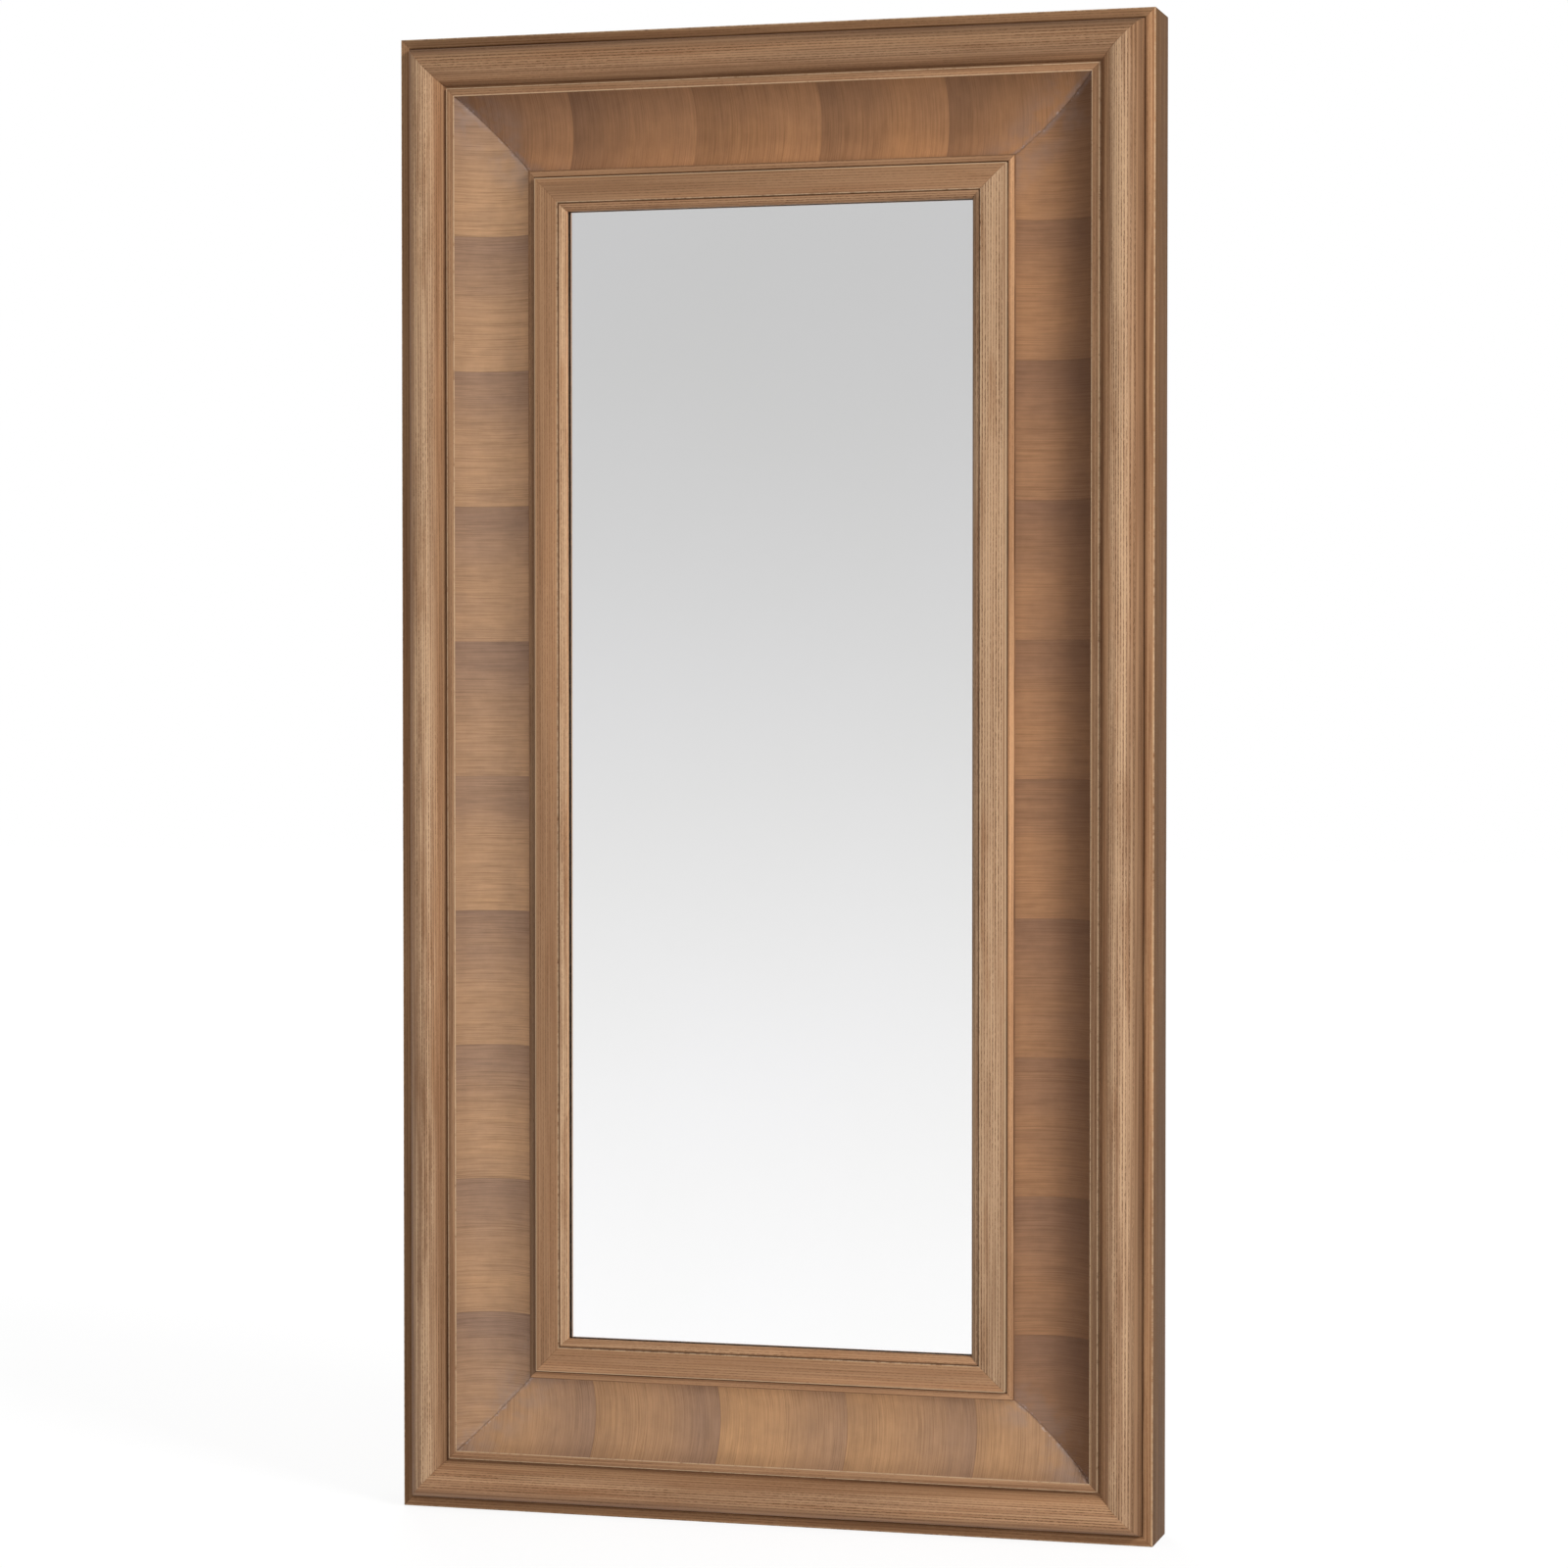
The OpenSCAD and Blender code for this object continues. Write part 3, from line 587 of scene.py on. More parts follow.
leafRow = {    # pitch and place of one joint in mm, from the bar's middle, and the numbers of the end leaves
    "left": {"pitch": 174, "joint": 0, "first": -5, "last": 4},
    "right": {"pitch": 174, "joint": 0, "first": -5, "last": 4},
    "top": {"pitch": 165, "joint": 66, "first": -3, "last": 1, "flipped": True},    # these darken the other way
    "bottom": {"pitch": 168, "joint": -68, "first": -2, "last": 2},
}
justInside = 0.001    # keeps the ends of the bar in the first and the last leaf


def veneerFade(tree, value, key, smoothly=True):
    return fade(tree, value, *veneerFades[key], smoothly=smoothly)


def leafPlace(tree, side, along):    # the leaf's number, and how far through the leaf the place is
    row = leafRow[side]
    steps = calc(tree, "DIVIDE", calc(tree, "SUBTRACT", along, row["joint"] / 1000), row["pitch"] / 1000)
    steps = calc(tree, "MAXIMUM", steps, row["first"] + justInside)
    steps = calc(tree, "MINIMUM", steps, row["last"] + 1 - justInside)
    number = calc(tree, "FLOOR", steps)
    share = calc(tree, "SUBTRACT", steps, number)
    if row.get("flipped"):
        share = calc(tree, "SUBTRACT", 1.0, share)
    return number, share


def leafColour(tree, side, number, share, parts):    # parts are the figure, the cloud and the leaf's own shade
    wander = times(tree, calc(tree, "SUBTRACT", parts["cloud"], 0.5), veneer["slopeWander"])
    slope = veneerFade(tree, plus(tree, share, wander), "slope")
    slope = times(tree, slope, veneer["slope"] * veneer["contrast"][side])
    lightness = veneer["lightness"]
    for oddLeaf, lighter, slopeShare in veneer["oddLeaves"].get(side, []):
        isOdd = calc(tree, "COMPARE", number, oddLeaf, 0.1)
        slope = times(tree, slope, fade(tree, isOdd, 0, 1, 1.0, slopeShare))
        lightness = plus(tree, lightness, times(tree, isOdd, lighter))
    lightness = plus(tree, lightness, slope)
    for key, part in parts.items():
        lightness = plus(tree, lightness, times(tree, part, veneer[key + "Share"]))
    lightness = calc(tree, "MINIMUM", calc(tree, "MAXIMUM", lightness, 0.0), 1.0)
    # the side's tone, partly painted shade and light
    return multiplied(
        tree, blendColour(tree, lightness, veneer["dark"], veneer["light"]), (*veneer["tone"][side], 1))


def mitreStained(tree, colour, side, patterns, fromMitre):    # patchy lilac stain, a chalky line and the joint
    mitreTone = (*veneer["mitreTone"][side], 1)
    close, wide = (
        times(tree, veneerFade(tree, fromMitre, reach), veneerFade(tree, patterns[key], key))
        for reach, key in (("nearMitre", "patchy"), ("wideOfMitre", "smoky")))
    colour = blendColour(
        tree, calc(tree, "MAXIMUM", close, wide), colour, multiplied(tree, veneer["mitre"], mitreTone))
    chalky = veneerFade(tree, patterns["chalk"], "chalk")
    chalky = times(tree, chalky, veneerFade(tree, patterns["chalkPatches"], "chalkPatches"))
    chalky = times(tree, chalky, veneerFade(tree, fromMitre, "chalkLine"))
    colour = blendColour(tree, chalky, colour, multiplied(tree, veneer["chalk"], mitreTone))
    return blendColour(tree, veneerFade(tree, fromMitre, "mitreLine"), colour, veneer["glazeAndShade"])


def veneerMaterial(name, side):
    material, tree, shader = newMaterial(name + side.capitalize())
    at = barCoordinates(tree, side)
    inset, along = at["inset"], at["along"]
    if side == "bottom":    # the turned coordinates run against X there
        along = times(tree, along, -1.0)
    number, share = leafPlace(tree, side, along)
    seed = sideSeed[side] + veneer["seed"]
    leafShade = addNode(
        tree, "TexWhiteNoise", {"W": plus(tree, number, seed * veneer["leafSeed"])},
        noise_dimensions="1D").outputs[0]
    moved = shifted(tree, at["vector"], plus(tree, leafShade, seed))
    patterns = {key: noise(tree, moved, **look) for key, look in veneerPatterns.items()}
    ripple = patterns["ripple"]
    colour = leafColour(
        tree, side, number, share,
        {"figure": patterns["figure"], "cloud": patterns["cloud"], "leaf": leafShade})
    # painted light towards the hollow's inner edge
    lift = fade(
        tree, inset, veneer["liftFrom"] / 1000, meeting["bead"] / 1000, 1.0, veneer["paintedInnerLight"][side])
    colour = toned(tree, colour, lift)
    mottle = plus(tree, patterns["mottle"], patterns["fineMottle"])
    colour = toned(tree, colour, veneerFade(tree, mottle, "mottle", smoothly=False))
    colour = toned(tree, colour, veneerFade(tree, ripple, "ripple"))
    lines = times(tree, veneerFade(tree, ripple, "line"), veneer["lineStrength"])
    colour = blendColour(tree, lines, colour, veneer["line"])
    seam = fade(tree, distance(tree, share, 0.5), 0.5 - veneer["seamWidth"] / leafRow[side]["pitch"], 0.5)
    colour = blendColour(tree, times(tree, seam, veneer["seamStrength"]), colour, veneer["glazeAndShade"])
    # glaze and painted shade at the hollow's outer and inner edges
    for place, (reach, strength) in zip((meeting["hollow"], meeting["bead"]), veneer["edgeGlazeAndShade"][side]):
        mask = fade(tree, distance(tree, inset, place / 1000), 0, reach / 1000, strength, 0)
        colour = blendColour(tree, mask, colour, veneer["glazeAndShade"])
    toEnd = calc(tree, "SUBTRACT", barLength[side] / 2, calc(tree, "ABSOLUTE", along))
    ragged = times(tree, calc(tree, "SUBTRACT", patterns["jagged"], 0.5), veneer["ragged"])
    fromMitre = plus(tree, calc(tree, "SUBTRACT", toEnd, inset), ragged)
    colour = mitreStained(tree, colour, side, patterns, fromMitre)
    plug(tree, colour, shader.inputs["Base Color"])
    shader.inputs["Specular IOR Level"].default_value = veneer["sheen"]
    rough = [veneer["roughness"] + change for change in veneer["roughnessEnds"]]
    plug(tree, fade(tree, ripple, *veneerFades["roughness"], *rough), shader.inputs["Roughness"])
    height = plus(tree, patterns["figure"], times(tree, ripple, veneer["rippleRelief"]))
    bumpFrom(tree, shader, height, *veneer["relief"])
    return material


# Frame bars
# In each finish: crowns (lime, partly a painted highlight) and tones start and end at an inset, with a softness; a
# tone, which is painted light and shade by side and partly stain, then gives its factor for left, right, top and
# bottom. Quirks, glaze that is partly painted shade, and rubbed lines have an inset, a reach, and a strength or a
# cover.

edgeBoard = {
    "thickness": 22, "depth": 85, "seat": 14, "rounding": 1.5, "roundingSteps": 6, "arris": 0.0004,
    "finish": {
        "seed": 20, "rings": 1.0, "crowns": None,
        "quirks": [(meeting["edge"], 3.0, 0.8)],
        "rubbed": [(0.5, 1.6, 0.45)],
        # painted shade and light by side on the front face: darker on the left, in the half-round's shadow, and on
        # top and bottom; lighter on the right, which faces the key lamp
        "tones": [(-5, 40, 1.2, (0.76, 1.30, 0.74, 0.86))],
    },
}
e = edgeBoard
edgeOutline = arcPoints((e["rounding"], e["rounding"]), e["rounding"], 180, 270, e["roundingSteps"]) + [
    (meeting["edge"], 0), (meeting["edge"], e["seat"]), (e["thickness"], e["seat"]),
    (e["thickness"], e["depth"]), (0, e["depth"]),
]
for side in sides:
    makeBar(
        "edgeBoard", side, edgeOutline, [(0, barLength[side])], e["arris"],
        ashMaterial("edgeAsh", side, e["finish"], darkenedFlank=True), "edge_board")
print("edge boards done")

outerMoulding = {
    "seat": 14, "quirkDepth": 1.5, "innerQuirk": -9,
    "roundCentre": (39.5, -1), "roundRadius": 26, "arcSteps": 49,
    "filletStart": 67, "filletFace": -14, "arris": 0.0007,
    "finish": {
        "seed": 0.0, "rings": 1.0,
        "crowns": dict.fromkeys(sides, (24, 52, 6)),
        "quirks": [(13, 8, 0.4), (66.5, 9, 0.42)],
        "rubbed": [(67.4, 1.1, 0.6), (77.1, 1.1, 0.62)],
        # painted shade and light by side, partly stain: darker on the top half-round, the right fillet and the
        # outer flanks but the left one; lighter on the right inner flank
        "tones": [
            (-5, 66.8, 1.2, (1.02, 1.04, 0.86, 1.04)), (66.8, 90, 1.2, (1.0, 0.76, 0.96, 0.96)),
            (-5, 26, 8, (1.0, 0.80, 0.80, 0.84)), (55, 66.8, 5, (0.96, 1.12, 1.0, 1.0)),
        ],
    },
}
m = outerMoulding
outerTilt, innerTilt = (
    degrees(asin((m[quirk] - m["roundCentre"][1]) / m["roundRadius"])) for quirk in ("quirkDepth", "innerQuirk"))
halfRound = arcPoints(m["roundCentre"], m["roundRadius"], 180 - outerTilt, 360 + innerTilt, m["arcSteps"])
mouldingOutline = [(meeting["edge"], m["seat"]), (meeting["edge"], m["quirkDepth"])] + halfRound + [
    (m["filletStart"], m["innerQuirk"]), (m["filletStart"], m["filletFace"]),
    (meeting["hollow"], m["filletFace"]), (meeting["hollow"], m["seat"]),
]
for side in sides:
    makeBar(
        "outerMoulding", side, mouldingOutline, [(0, barLength[side])], m["arris"],
        ashMaterial("mouldingAsh", side, m["finish"]), "outer_moulding")
print("outer mouldings done")

veneerLeaves = {
    "startDepth": -12.5, "endDepth": -1.0,
    "hollowDepth": 20,    # from the straight line between the hollow's two edges
    "thickness": 1.0, "arcSteps": 33, "gap": 0.02, "arris": 0.00004, "arrisSegments": 2,
    "overrun": 0.06,    # the end leaves are drawn from here and cut at the mitres
}
v = veneerLeaves
fall = v["endDepth"] - v["startDepth"]
chord = hypot(meeting["bead"] - meeting["hollow"], fall)
hollowRadius = (chord ** 2 / 4 + v["hollowDepth"] ** 2) / (2 * v["hollowDepth"])
toCentre = (hollowRadius - v["hollowDepth"]) / chord
hollowCentre = (
    (meeting["hollow"] + meeting["bead"]) / 2 + toCentre * fall,
    (v["startDepth"] + v["endDepth"]) / 2 - toCentre * (meeting["bead"] - meeting["hollow"]),
)


def hollowArc(radius):    # from the hollow's outer edge to its inner edge
    across = [inset - hollowCentre[0] for inset in (meeting["hollow"], meeting["bead"])]
    angles = [degrees(atan2(sqrt(radius ** 2 - x ** 2), x)) for x in across]
    return arcPoints(hollowCentre, radius, *angles, v["arcSteps"])


leafOutline = hollowArc(hollowRadius) + hollowArc(hollowRadius + v["thickness"])[::-1]
for side in sides:
    row = leafRow[side]
    joints = [
        barLength[side] / 2 + row["joint"] / 1000 + i * row["pitch"] / 1000
        for i in range(row["first"] + 1, row["last"] + 1)]
    ends = [v["overrun"]] + joints + [barLength[side] - v["overrun"]]
    halfGap = v["gap"] / 2 / 1000
    makeBar(
        "hollowVeneer", side, leafOutline, [(a + halfGap, b - halfGap) for a, b in zip(ends, ends[1:])],
        v["arris"], veneerMaterial("leafVeneer", side), "cove_veneer", v["arrisSegments"])
print("veneered hollows done")

innerMoulding = {
    "face": [
        (175.5, -5), (184, -5), (184, -2.5), (185.5, -2.5),    # bead and groove
        (185.5, -11), (218, -15.5), (218, -13), (219.5, -13),    # flat, which climbs to the lip, and groove
        (219.5, -14.5),    # foot of the lip
    ],
    "lipCentre": (220, -5.5), "lipRadius": 9, "lipSteps": 15, "glassFace": -1, "rebate": 217, "back": 20,
    "tongue": [(175.5, 17), (168.5, 17), (168.5, 11), (175.5, 11)],
    "arris": 0.0006,
    "finish": {
        "seed": 40, "rings": 0.55,
        # lime on the lip, and on the right also on the flat, partly a painted highlight
        "crowns": {**dict.fromkeys(sides, (219.5, 229, 2)), "right": (188, 229, 2)},
        "quirks": [(184.7, 2.8, 1.0), (218.7, 2.2, 0.9), (175.5, 1.8, 0.9)],
        "rubbed": [(185.9, 1.2, 0.8), (217.6, 0.9, 0.5)],
        # painted shade and light by side, partly stain: the bead darker on the left, in the flat's shadow, and
        # lighter on the right, which faces the key lamp; the sight face lighter, so that its reflection shows as a
        # light strip
        "tones": [
            (170, 185, 1.2, (0.70, 1.66, 1.02, 1.05)), (184.6, 219, 1.2, (1.07, 0.97, 0.94, 1.12)),
            (219, 240, 1.2, (1.08, 0.84, 0.98, 1.16)), (228.3, 240, 1.2, (1.6, 1.2, 1.3, 1.3)),
        ],
    },
}
n = innerMoulding
lip = arcPoints(n["lipCentre"], n["lipRadius"], 270, 360, n["lipSteps"])
innerOutline = [(meeting["bead"], n["back"])] + n["tongue"] + n["face"] + lip + [
    (meeting["sight"], n["glassFace"]), (n["rebate"], n["glassFace"]), (n["rebate"], n["back"]),
]
for side in sides:
    makeBar(
        "innerMoulding", side, innerOutline, [(0, barLength[side])], n["arris"],
        ashMaterial("innerAsh", side, n["finish"], shadedRebate=True), "inner_moulding")
print("inner mouldings done")


# Carried-over nodes

softwood = {
    "dark": sRgb(176, 140, 98), "light": sRgb(206, 172, 128), "rings": 0.9, "figure": (0.88, 1.1),
    "roughness": (0.6, 0.75), "relief": (0.2, 0.0002), "seed": 60,
}


def plainTimber(name, side):
    material, tree, shader = newMaterial(name + side.capitalize())
    seed = softwood["seed"] + sideSeed[side]
    grain = useGroup(tree, grainGroup, {"Vector": barCoordinates(tree, side)["vector"], "Seed": seed})
    ringed = times(tree, grain["Rings"], softwood["rings"])
    colour = blendColour(tree, ringed, softwood["dark"], softwood["light"])
    colour = toned(tree, colour, fade(tree, grain["Figure"], 0, 1, *softwood["figure"]))
    plug(tree, colour, shader.inputs["Base Color"])
    plug(tree, fade(tree, grain["Pores"], 0, 1, *softwood["roughness"]), shader.inputs["Roughness"])
    bumpFrom(tree, shader, grain["Pores"], *softwood["relief"])
    return material


def dress(nodeName, material):
    mesh = frame["nodes"][nodeName].data
    mesh.materials.clear()
    mesh.materials.append(material)


for side in sides:
    timber = plainTimber("planedSoftwood", side)
    dress("cove_core_" + side, timber)
    dress("batten_" + side, timber)

plainFinishes = {    # from dull to bright
    "beechBiscuit": {
        "colours": (sRgb(196, 150, 104), sRgb(214, 172, 128)), "scale": 300, "roughness": 0.6,
        "metallic": 0.0, "bump": 0.1, "nodes": ["mitre_biscuits"],
    },
    "zincPlate": {
        "colours": (sRgb(178, 180, 183), sRgb(200, 201, 203)), "scale": 900, "roughness": 0.34,
        "metallic": 1.0, "bump": 0.04,
        "nodes": ["corner_plates", "retaining_clips", "hanger_strap_left", "hanger_strap_right"],
    },
    "platedWire": {
        "colours": (sRgb(190, 191, 194), sRgb(222, 223, 226)), "scale": 500, "roughness": 0.16,
        "metallic": 1.0, "bump": 0.03, "nodes": ["hanging_ring_left", "hanging_ring_right"],
    },
    "blackRubber": {
        "colours": (sRgb(28, 27, 26), sRgb(46, 44, 43)), "scale": 900, "roughness": 0.7,
        "metallic": 0.0, "bump": 0.25, "nodes": ["setting_blocks", "glass_spacers", "wall_bumpers"],
    },
    "fibreboard": {
        "colours": (sRgb(126, 92, 60), sRgb(150, 114, 78)), "scale": 1600, "roughness": 0.7,
        "metallic": 0.0, "bump": 0.3, "nodes": ["backing_board"],
    },
}
speckLook = {
    "specks": {"detail": 4, "rough": 0.6}, "broad": {"detail": 3, "rough": 0.5}, "broadScale": 1 / 40,
    "shares": (0.8, 0.2), "colourEnds": (0.35, 0.65), "roughEnds": (0.3, 0.7), "rough": (-0.06, 0.08),
    "depth": 0.0002,
}


def speckled(name, finish):    # fine specks over broad clouds
    material, tree, shader = newMaterial(name)
    coordinates = addNode(tree, "TexCoord").outputs["Object"]
    specks = noise(tree, coordinates, finish["scale"], **speckLook["specks"])
    broad = noise(tree, coordinates, finish["scale"] * speckLook["broadScale"], **speckLook["broad"])
    amount = plus(tree, *(times(tree, part, share) for part, share in zip((specks, broad), speckLook["shares"])))
    colour = blendColour(tree, fade(tree, amount, *speckLook["colourEnds"]), *finish["colours"])
    plug(tree, colour, shader.inputs["Base Color"])
    rough = [finish["roughness"] + change for change in speckLook["rough"]]
    plug(tree, fade(tree, specks, *speckLook["roughEnds"], *rough), shader.inputs["Roughness"])
    shader.inputs["Metallic"].default_value = finish["metallic"]
    bumpFrom(tree, shader, specks, finish["bump"], speckLook["depth"])
    return material


plainMaterials = {name: speckled(name, finish) for name, finish in plainFinishes.items()}
for name, finish in plainFinishes.items():
    for nodeName in finish["nodes"]:
        dress(nodeName, plainMaterials[name])

mirrorPane = {
    "tints": ((0.994, 0.993, 0.990, 1), (0.992, 0.992, 0.989, 1)),
    "tintScale": 3, "tintDetail": 1, "ior": 1.52,
    "silver": (sRgb(247, 247, 248), sRgb(246, 246, 246)),
    "silverScale": 2.5, "silverEnds": (0.3, 0.7), "silverRoughness": 0.015,
    "bedding": 0.00005,    # how far the film reaches into the back of the glass
    "margin": 0.0004, "arris": 0.0001,
}
glass, tree, shader = newMaterial("clearPane")
coordinates = addNode(tree, "TexCoord").outputs["Object"]
faint = noise(tree, coordinates, mirrorPane["tintScale"], mirrorPane["tintDetail"])
plug(tree, blendColour(tree, faint, *mirrorPane["tints"]), shader.inputs["Base Color"])
shader.inputs["Roughness"].default_value = 0.0
shader.inputs["IOR"].default_value = mirrorPane["ior"]
shader.inputs["Transmission Weight"].default_value = 1.0
dress("mirror_glass", glass)

silver, tree, shader = newMaterial("silverFilm")
coordinates = addNode(tree, "TexCoord").outputs["Object"]
faint = fade(tree, noise(tree, coordinates, mirrorPane["silverScale"]), *mirrorPane["silverEnds"])
plug(tree, blendColour(tree, faint, *mirrorPane["silver"]), shader.inputs["Base Color"])
shader.inputs["Metallic"].default_value = 1.0
shader.inputs["Roughness"].default_value = mirrorPane["silverRoughness"]

bpy.ops.object.select_all(action="DESELECT")
low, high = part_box("silvering")
front = low.y - mirrorPane["bedding"]
margin = mirrorPane["margin"]
bpy.ops.mesh.primitive_cube_add(
    size=1, location=((low.x + high.x) / 2, (front + high.y) / 2, (low.z + high.z) / 2))
film = startEditing("silverFilm")
bpy.ops.transform.resize(value=(high.x - low.x - 2 * margin, high.y - front, high.z - low.z - 2 * margin))
stopEditing()
bpy.ops.object.transform_apply(location=True, rotation=True, scale=True)
roundArrises(film, mirrorPane["arris"], 1)
film.data.materials.append(silver)
finishPiece(film, "silvering")
print("carried-over nodes dressed")


# Screws with cross recesses, in the places of the part's own screws

screw = {
    "shankRadius": 1.7, "headDepth": 2.0, "tipLength": 3.0, "steps": 24,
    "recessLength": 4.2, "recessWidth": 0.9, "recessDepth": 1.1,
    "reach": 0.0085,    # the points of one screw lie within this many metres of its first point, seen from behind
    "doubles": 0.00001,
    "smoothAngle": 30,
    "pieces": {
        "mouldingScrews": "moulding_screws", "battenScrews": "batten_screws", "shortScrews": "short_screws",
    },
}


def screwPlaces(nodeName):    # the middle of each head, the screw's length and its head's radius
    groups = []
    node = frame["nodes"][nodeName]
    for vertex in node.data.vertices:
        spot = node.matrix_world @ vertex.co
        for group in groups:
            if Vector((group[0].x - spot.x, 0, group[0].z - spot.z)).length < screw["reach"]:
                group.append(spot)
                break
        else:
            groups.append([spot])
    found = []
    for group in groups:
        low, high = (Vector([end(spot[i] for spot in group) for i in range(3)]) for end in (min, max))
        head = Vector(((low.x + high.x) / 2, high.y, (low.z + high.z) / 2))
        found.append((head, high.y - low.y, (high.x - low.x) / 2))
    return found


def drawScrew(name, headRadius, length):    # head up along +Y at the origin
    s = screw
    outline = [
        (0, 0), (headRadius * 1000, 0), (s["shankRadius"], -s["headDepth"]),
        (s["shankRadius"], s["tipLength"] - length * 1000), (0, -length * 1000),
    ]
    bpy.ops.mesh.primitive_plane_add(size=modelling["dot"], location=(0, 0, 0))
    obj = startEditing(name)
    bpy.ops.mesh.merge(type="CENTER")
    drawLine([Vector((x / 1000, y / 1000, 0)) for x, y in outline])
    bpy.ops.mesh.select_all(action="SELECT")
    bpy.ops.mesh.spin(steps=s["steps"], angle=radians(360), center=(0, 0, 0), axis=(0, 1, 0))
    bpy.ops.mesh.select_all(action="SELECT")
    bpy.ops.mesh.remove_doubles(threshold=s["doubles"])
    faceOutwards()
    stopEditing()
    return obj


def cutRecess(obj):    # two crossed bars are cut from the head
    bpy.ops.mesh.primitive_cube_add(size=0.001)    # 1 mm, so that it is resized by sizes in mm
    cutter = startEditing("recessCutter")
    bpy.ops.transform.resize(value=(screw["recessLength"], 2 * screw["recessDepth"], screw["recessWidth"]))
    bpy.ops.mesh.select_all(action="SELECT")
    bpy.ops.mesh.duplicate()
    bpy.ops.transform.rotate(value=radians(90), orient_axis="Y", center_override=(0, 0, 0))
    stopEditing()
    cut = obj.modifiers.new("recess", "BOOLEAN")
    cut.operation = "DIFFERENCE"
    cut.object = cutter
    cut.use_self = True
    applyAll(obj)
    bpy.data.objects.remove(cutter)


for pieceName, nodeName in screw["pieces"].items():
    places = screwPlaces(nodeName)
    firstLength, firstRadius = places[0][1:]    # the screws of one node are all the same
    first = drawScrew(pieceName, firstRadius, firstLength)
    cutRecess(first)
    copies = []
    for place in places:
        copy = first.copy()
        copy.data = first.data.copy()
        scene.collection.objects.link(copy)
        copy.data.transform(Matrix.Translation(place[0]))
        copies.append(copy)
    bpy.data.objects.remove(first)
    bpy.ops.object.select_all(action="DESELECT")
    for copy in copies:
        copy.select_set(True)
    bpy.context.view_layer.objects.active = copies[0]
    bpy.ops.object.join()
    joined = bpy.context.object
    joined.name = pieceName
    joined.data.name = pieceName
    smooth(joined, screw["smoothAngle"])
    joined.data.materials.append(plainMaterials["zincPlate"])
    finishPiece(joined, nodeName)
    print(pieceName, len(places))


# Studio

studio = {
    "floorSize": 40.0,
    "floorDrop": 0.0005,
    "floorColour": (0.86, 0.86, 0.86, 1),
    "floorRoughness": 0.9,
    "floorGlow": 1.13,    # seen by the camera alone, so that the lit floor comes out white
    "glowDistances": (2.0, 7.0),    # from the mirror
    "glowShares": (0.76, 1.0),    # at those distances: near the mirror the rest of the floor keeps the shadow
    "fill": 0.36,
    "reflectionHeights": (-0.215, 0.12),    # of the directions between which the world's reflection fades
    "reflectionBottom": 1.10,
    "reflectionTop": 0.625,
    "lamps": {
        "key": {"place": (6.6, -4.6, 4.6), "aim": (0, 0, 0.95), "size": 2.2, "power": 430},
        "front": {"place": (1.0, -6.8, 1.8), "aim": (0, 0, 0.95), "size": 2.4, "power": 60},
        "bounce": {"place": (0.2, -1.3, 0.03), "aim": (0, 0, 0.25), "size": 2.0, "power": 6},
        "rear": {"place": (-3.0, 6.5, 3.4), "aim": (0, 0, 0.95), "size": 2.6, "power": 210},
    },
}
bpy.ops.mesh.primitive_plane_add(size=studio["floorSize"], location=(0, 0, -studio["floorDrop"]))
floor = bpy.context.object
floor.name = "floor"
floorMaterial, tree, shader = newMaterial("paleFloor")
shader.inputs["Base Color"].default_value = studio["floorColour"]
shader.inputs["Roughness"].default_value = studio["floorRoughness"]
white = addNode(tree, "Emission", {"Color": (1, 1, 1, 1), "Strength": studio["floorGlow"]})
coordinates = addNode(tree, "TexCoord").outputs["Object"]
away = addNode(tree, "VectorMath", {0: coordinates}, operation="LENGTH").outputs["Value"]
share = fade(tree, away, *studio["glowDistances"], *studio["glowShares"])
seen = addNode(tree, "LightPath").outputs["Is Camera Ray"]
mixed = addNode(tree, "MixShader", {"Fac": times(tree, seen, share), 1: shader.outputs[0], 2: white.outputs[0]})
plug(tree, mixed.outputs[0], tree.nodes["Material Output"].inputs["Surface"])
floor.data.materials.append(floorMaterial)
floor.visible_glossy = False
floor.visible_transmission = False

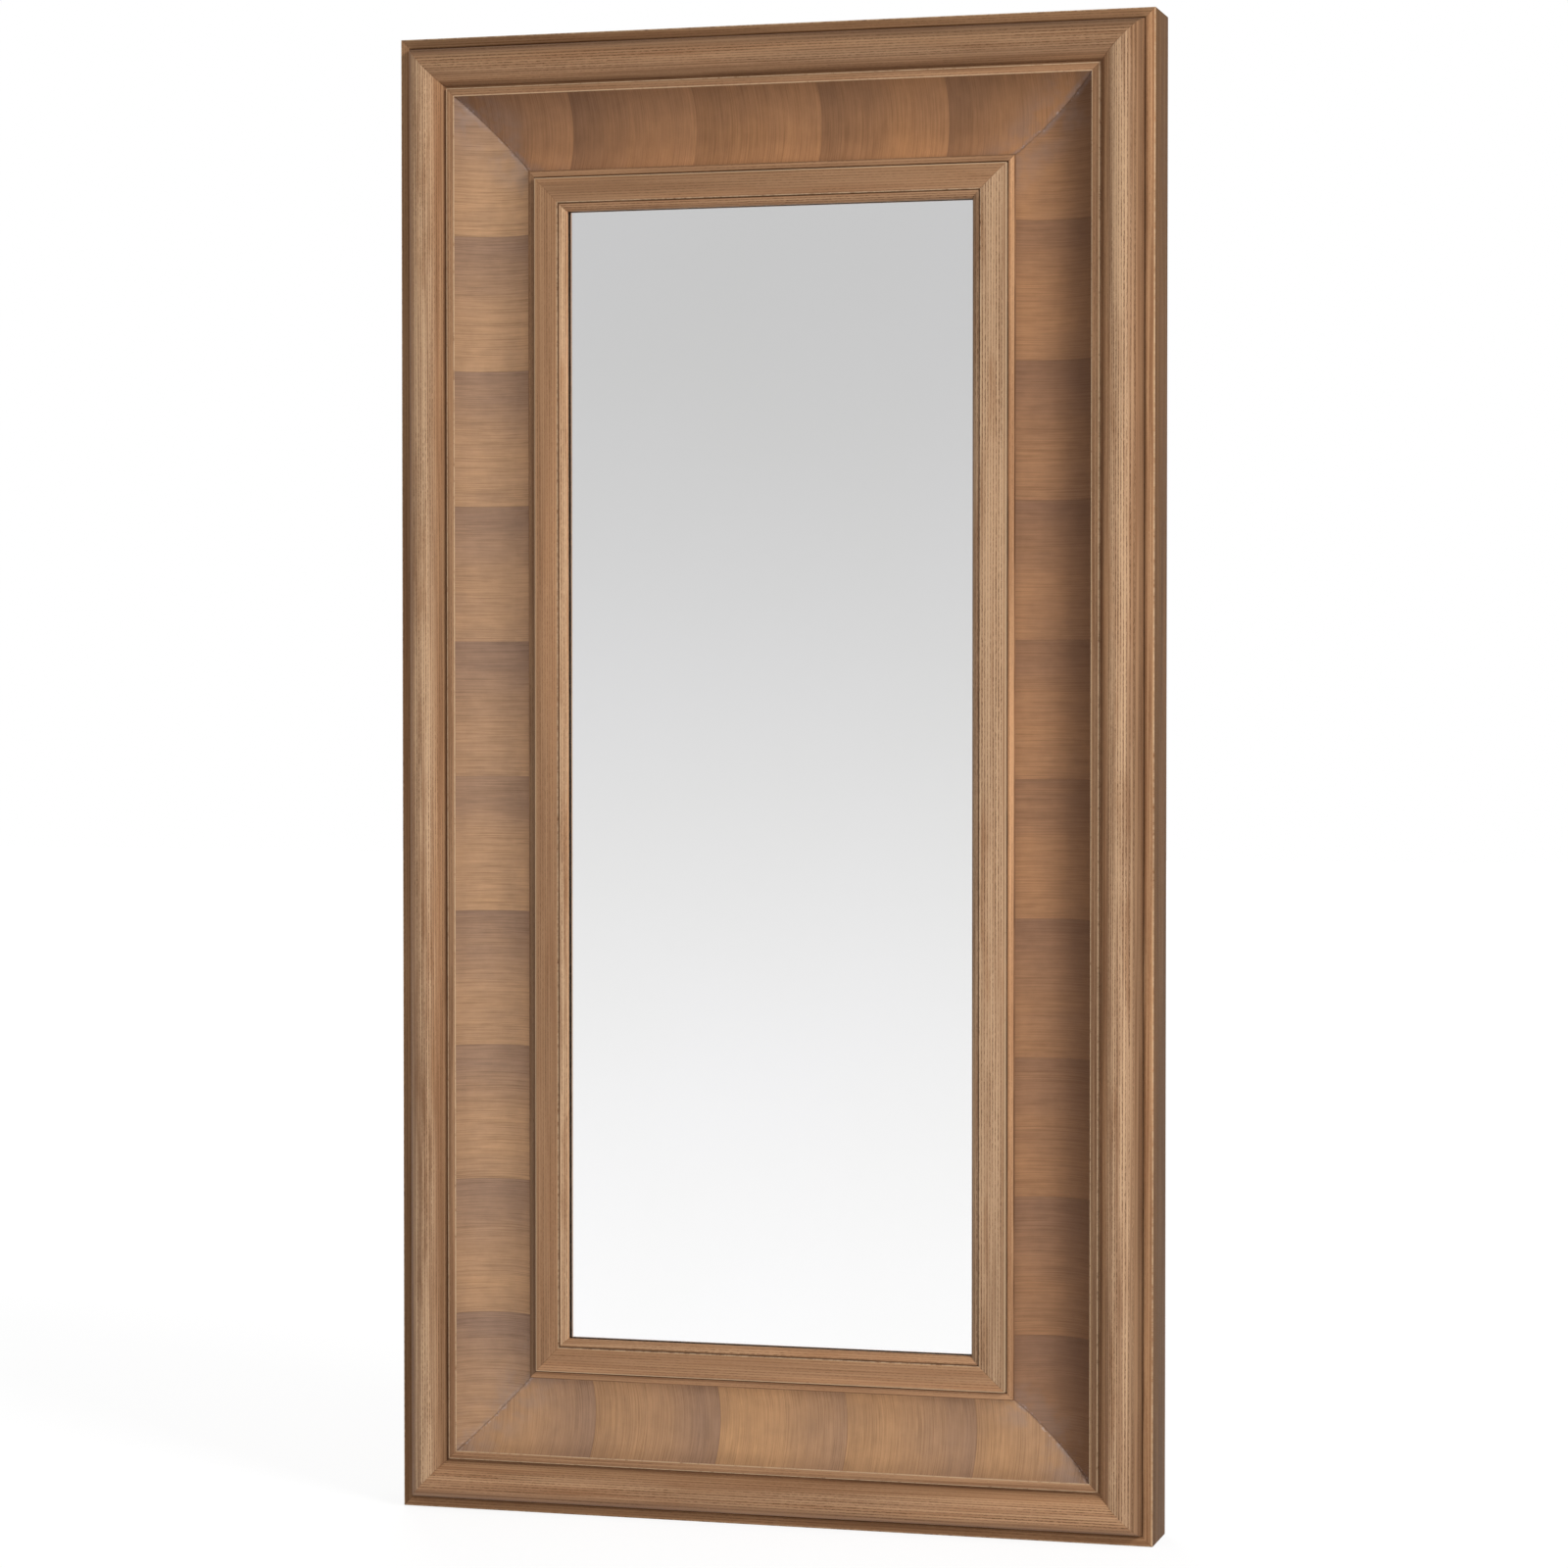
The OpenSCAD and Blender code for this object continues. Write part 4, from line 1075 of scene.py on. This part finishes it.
world = bpy.data.worlds.new("studio")
scene.world = world
world.use_nodes = True
tree = world.node_tree
tree.nodes.clear()
seen = addNode(tree, "LightPath").outputs
direction = addNode(tree, "TexCoord").outputs["Generated"]
rise = addNode(tree, "SeparateXYZ", {"Vector": direction}).outputs[2]
gradient = fade(tree, rise, *studio["reflectionHeights"], studio["reflectionBottom"], studio["reflectionTop"])
mirrored = calc(tree, "MAXIMUM", seen["Is Glossy Ray"], seen["Is Transmission Ray"])
strength = addNode(tree, "Mix", {0: mirrored, 2: studio["fill"], 3: gradient}, data_type="FLOAT").outputs[0]
strength = addNode(tree, "Mix", {0: seen["Is Camera Ray"], 2: strength, 3: 1.0}, data_type="FLOAT").outputs[0]
sky = addNode(tree, "Background", {"Color": (1, 1, 1, 1), "Strength": strength})
plug(tree, sky.outputs[0], addNode(tree, "OutputWorld").inputs["Surface"])

for name, settings in studio["lamps"].items():
    bpy.ops.object.light_add(type="AREA", location=settings["place"])
    lamp = bpy.context.object
    lamp.name = name + "Light"
    lamp.data.size = settings["size"]
    lamp.data.energy = settings["power"]
    lamp.visible_glossy = False    # this line and the next keep the lamps themselves out of the mirror
    lamp.visible_transmission = False
    towards = Vector(settings["aim"]) - Vector(settings["place"])
    lamp.rotation_euler = towards.to_track_quat("-Z", "Y").to_euler()
print("studio done")

# Camera, fitted to the photograph: the focal length and the middle of the mirror are in its pixels
view = {
    "pixels": 1600, "sensor": 36,
    "azimuth": 15.605, "elevation": 1.354, "focal": 4238.9, "middle": (784.5, 793.8), "away": 5.2678,
}
azimuth, elevation = radians(view["azimuth"]), radians(view["elevation"])
forward = Vector((-sin(azimuth) * cos(elevation), cos(azimuth) * cos(elevation), -sin(elevation)))
rightward = Vector((cos(azimuth), sin(azimuth), 0))
downward = forward.cross(rightward)
offset = [(pixel - view["pixels"] / 2) / view["focal"] * view["away"] for pixel in view["middle"]]
target = Vector((0, -overall["faceToMiddle"], halfHeight))
eye = target - rightward * offset[0] - downward * offset[1] - forward * view["away"]
bpy.ops.object.camera_add(location=eye)
camera = bpy.context.object
camera.name = "photoCamera"
camera.rotation_euler = Matrix((rightward, -downward, -forward)).transposed().to_euler()
camera.data.sensor_width = view["sensor"]
camera.data.lens = view["focal"] / view["pixels"] * view["sensor"]
scene.camera = camera
scene.view_settings.view_transform = "Standard"
print("camera done")
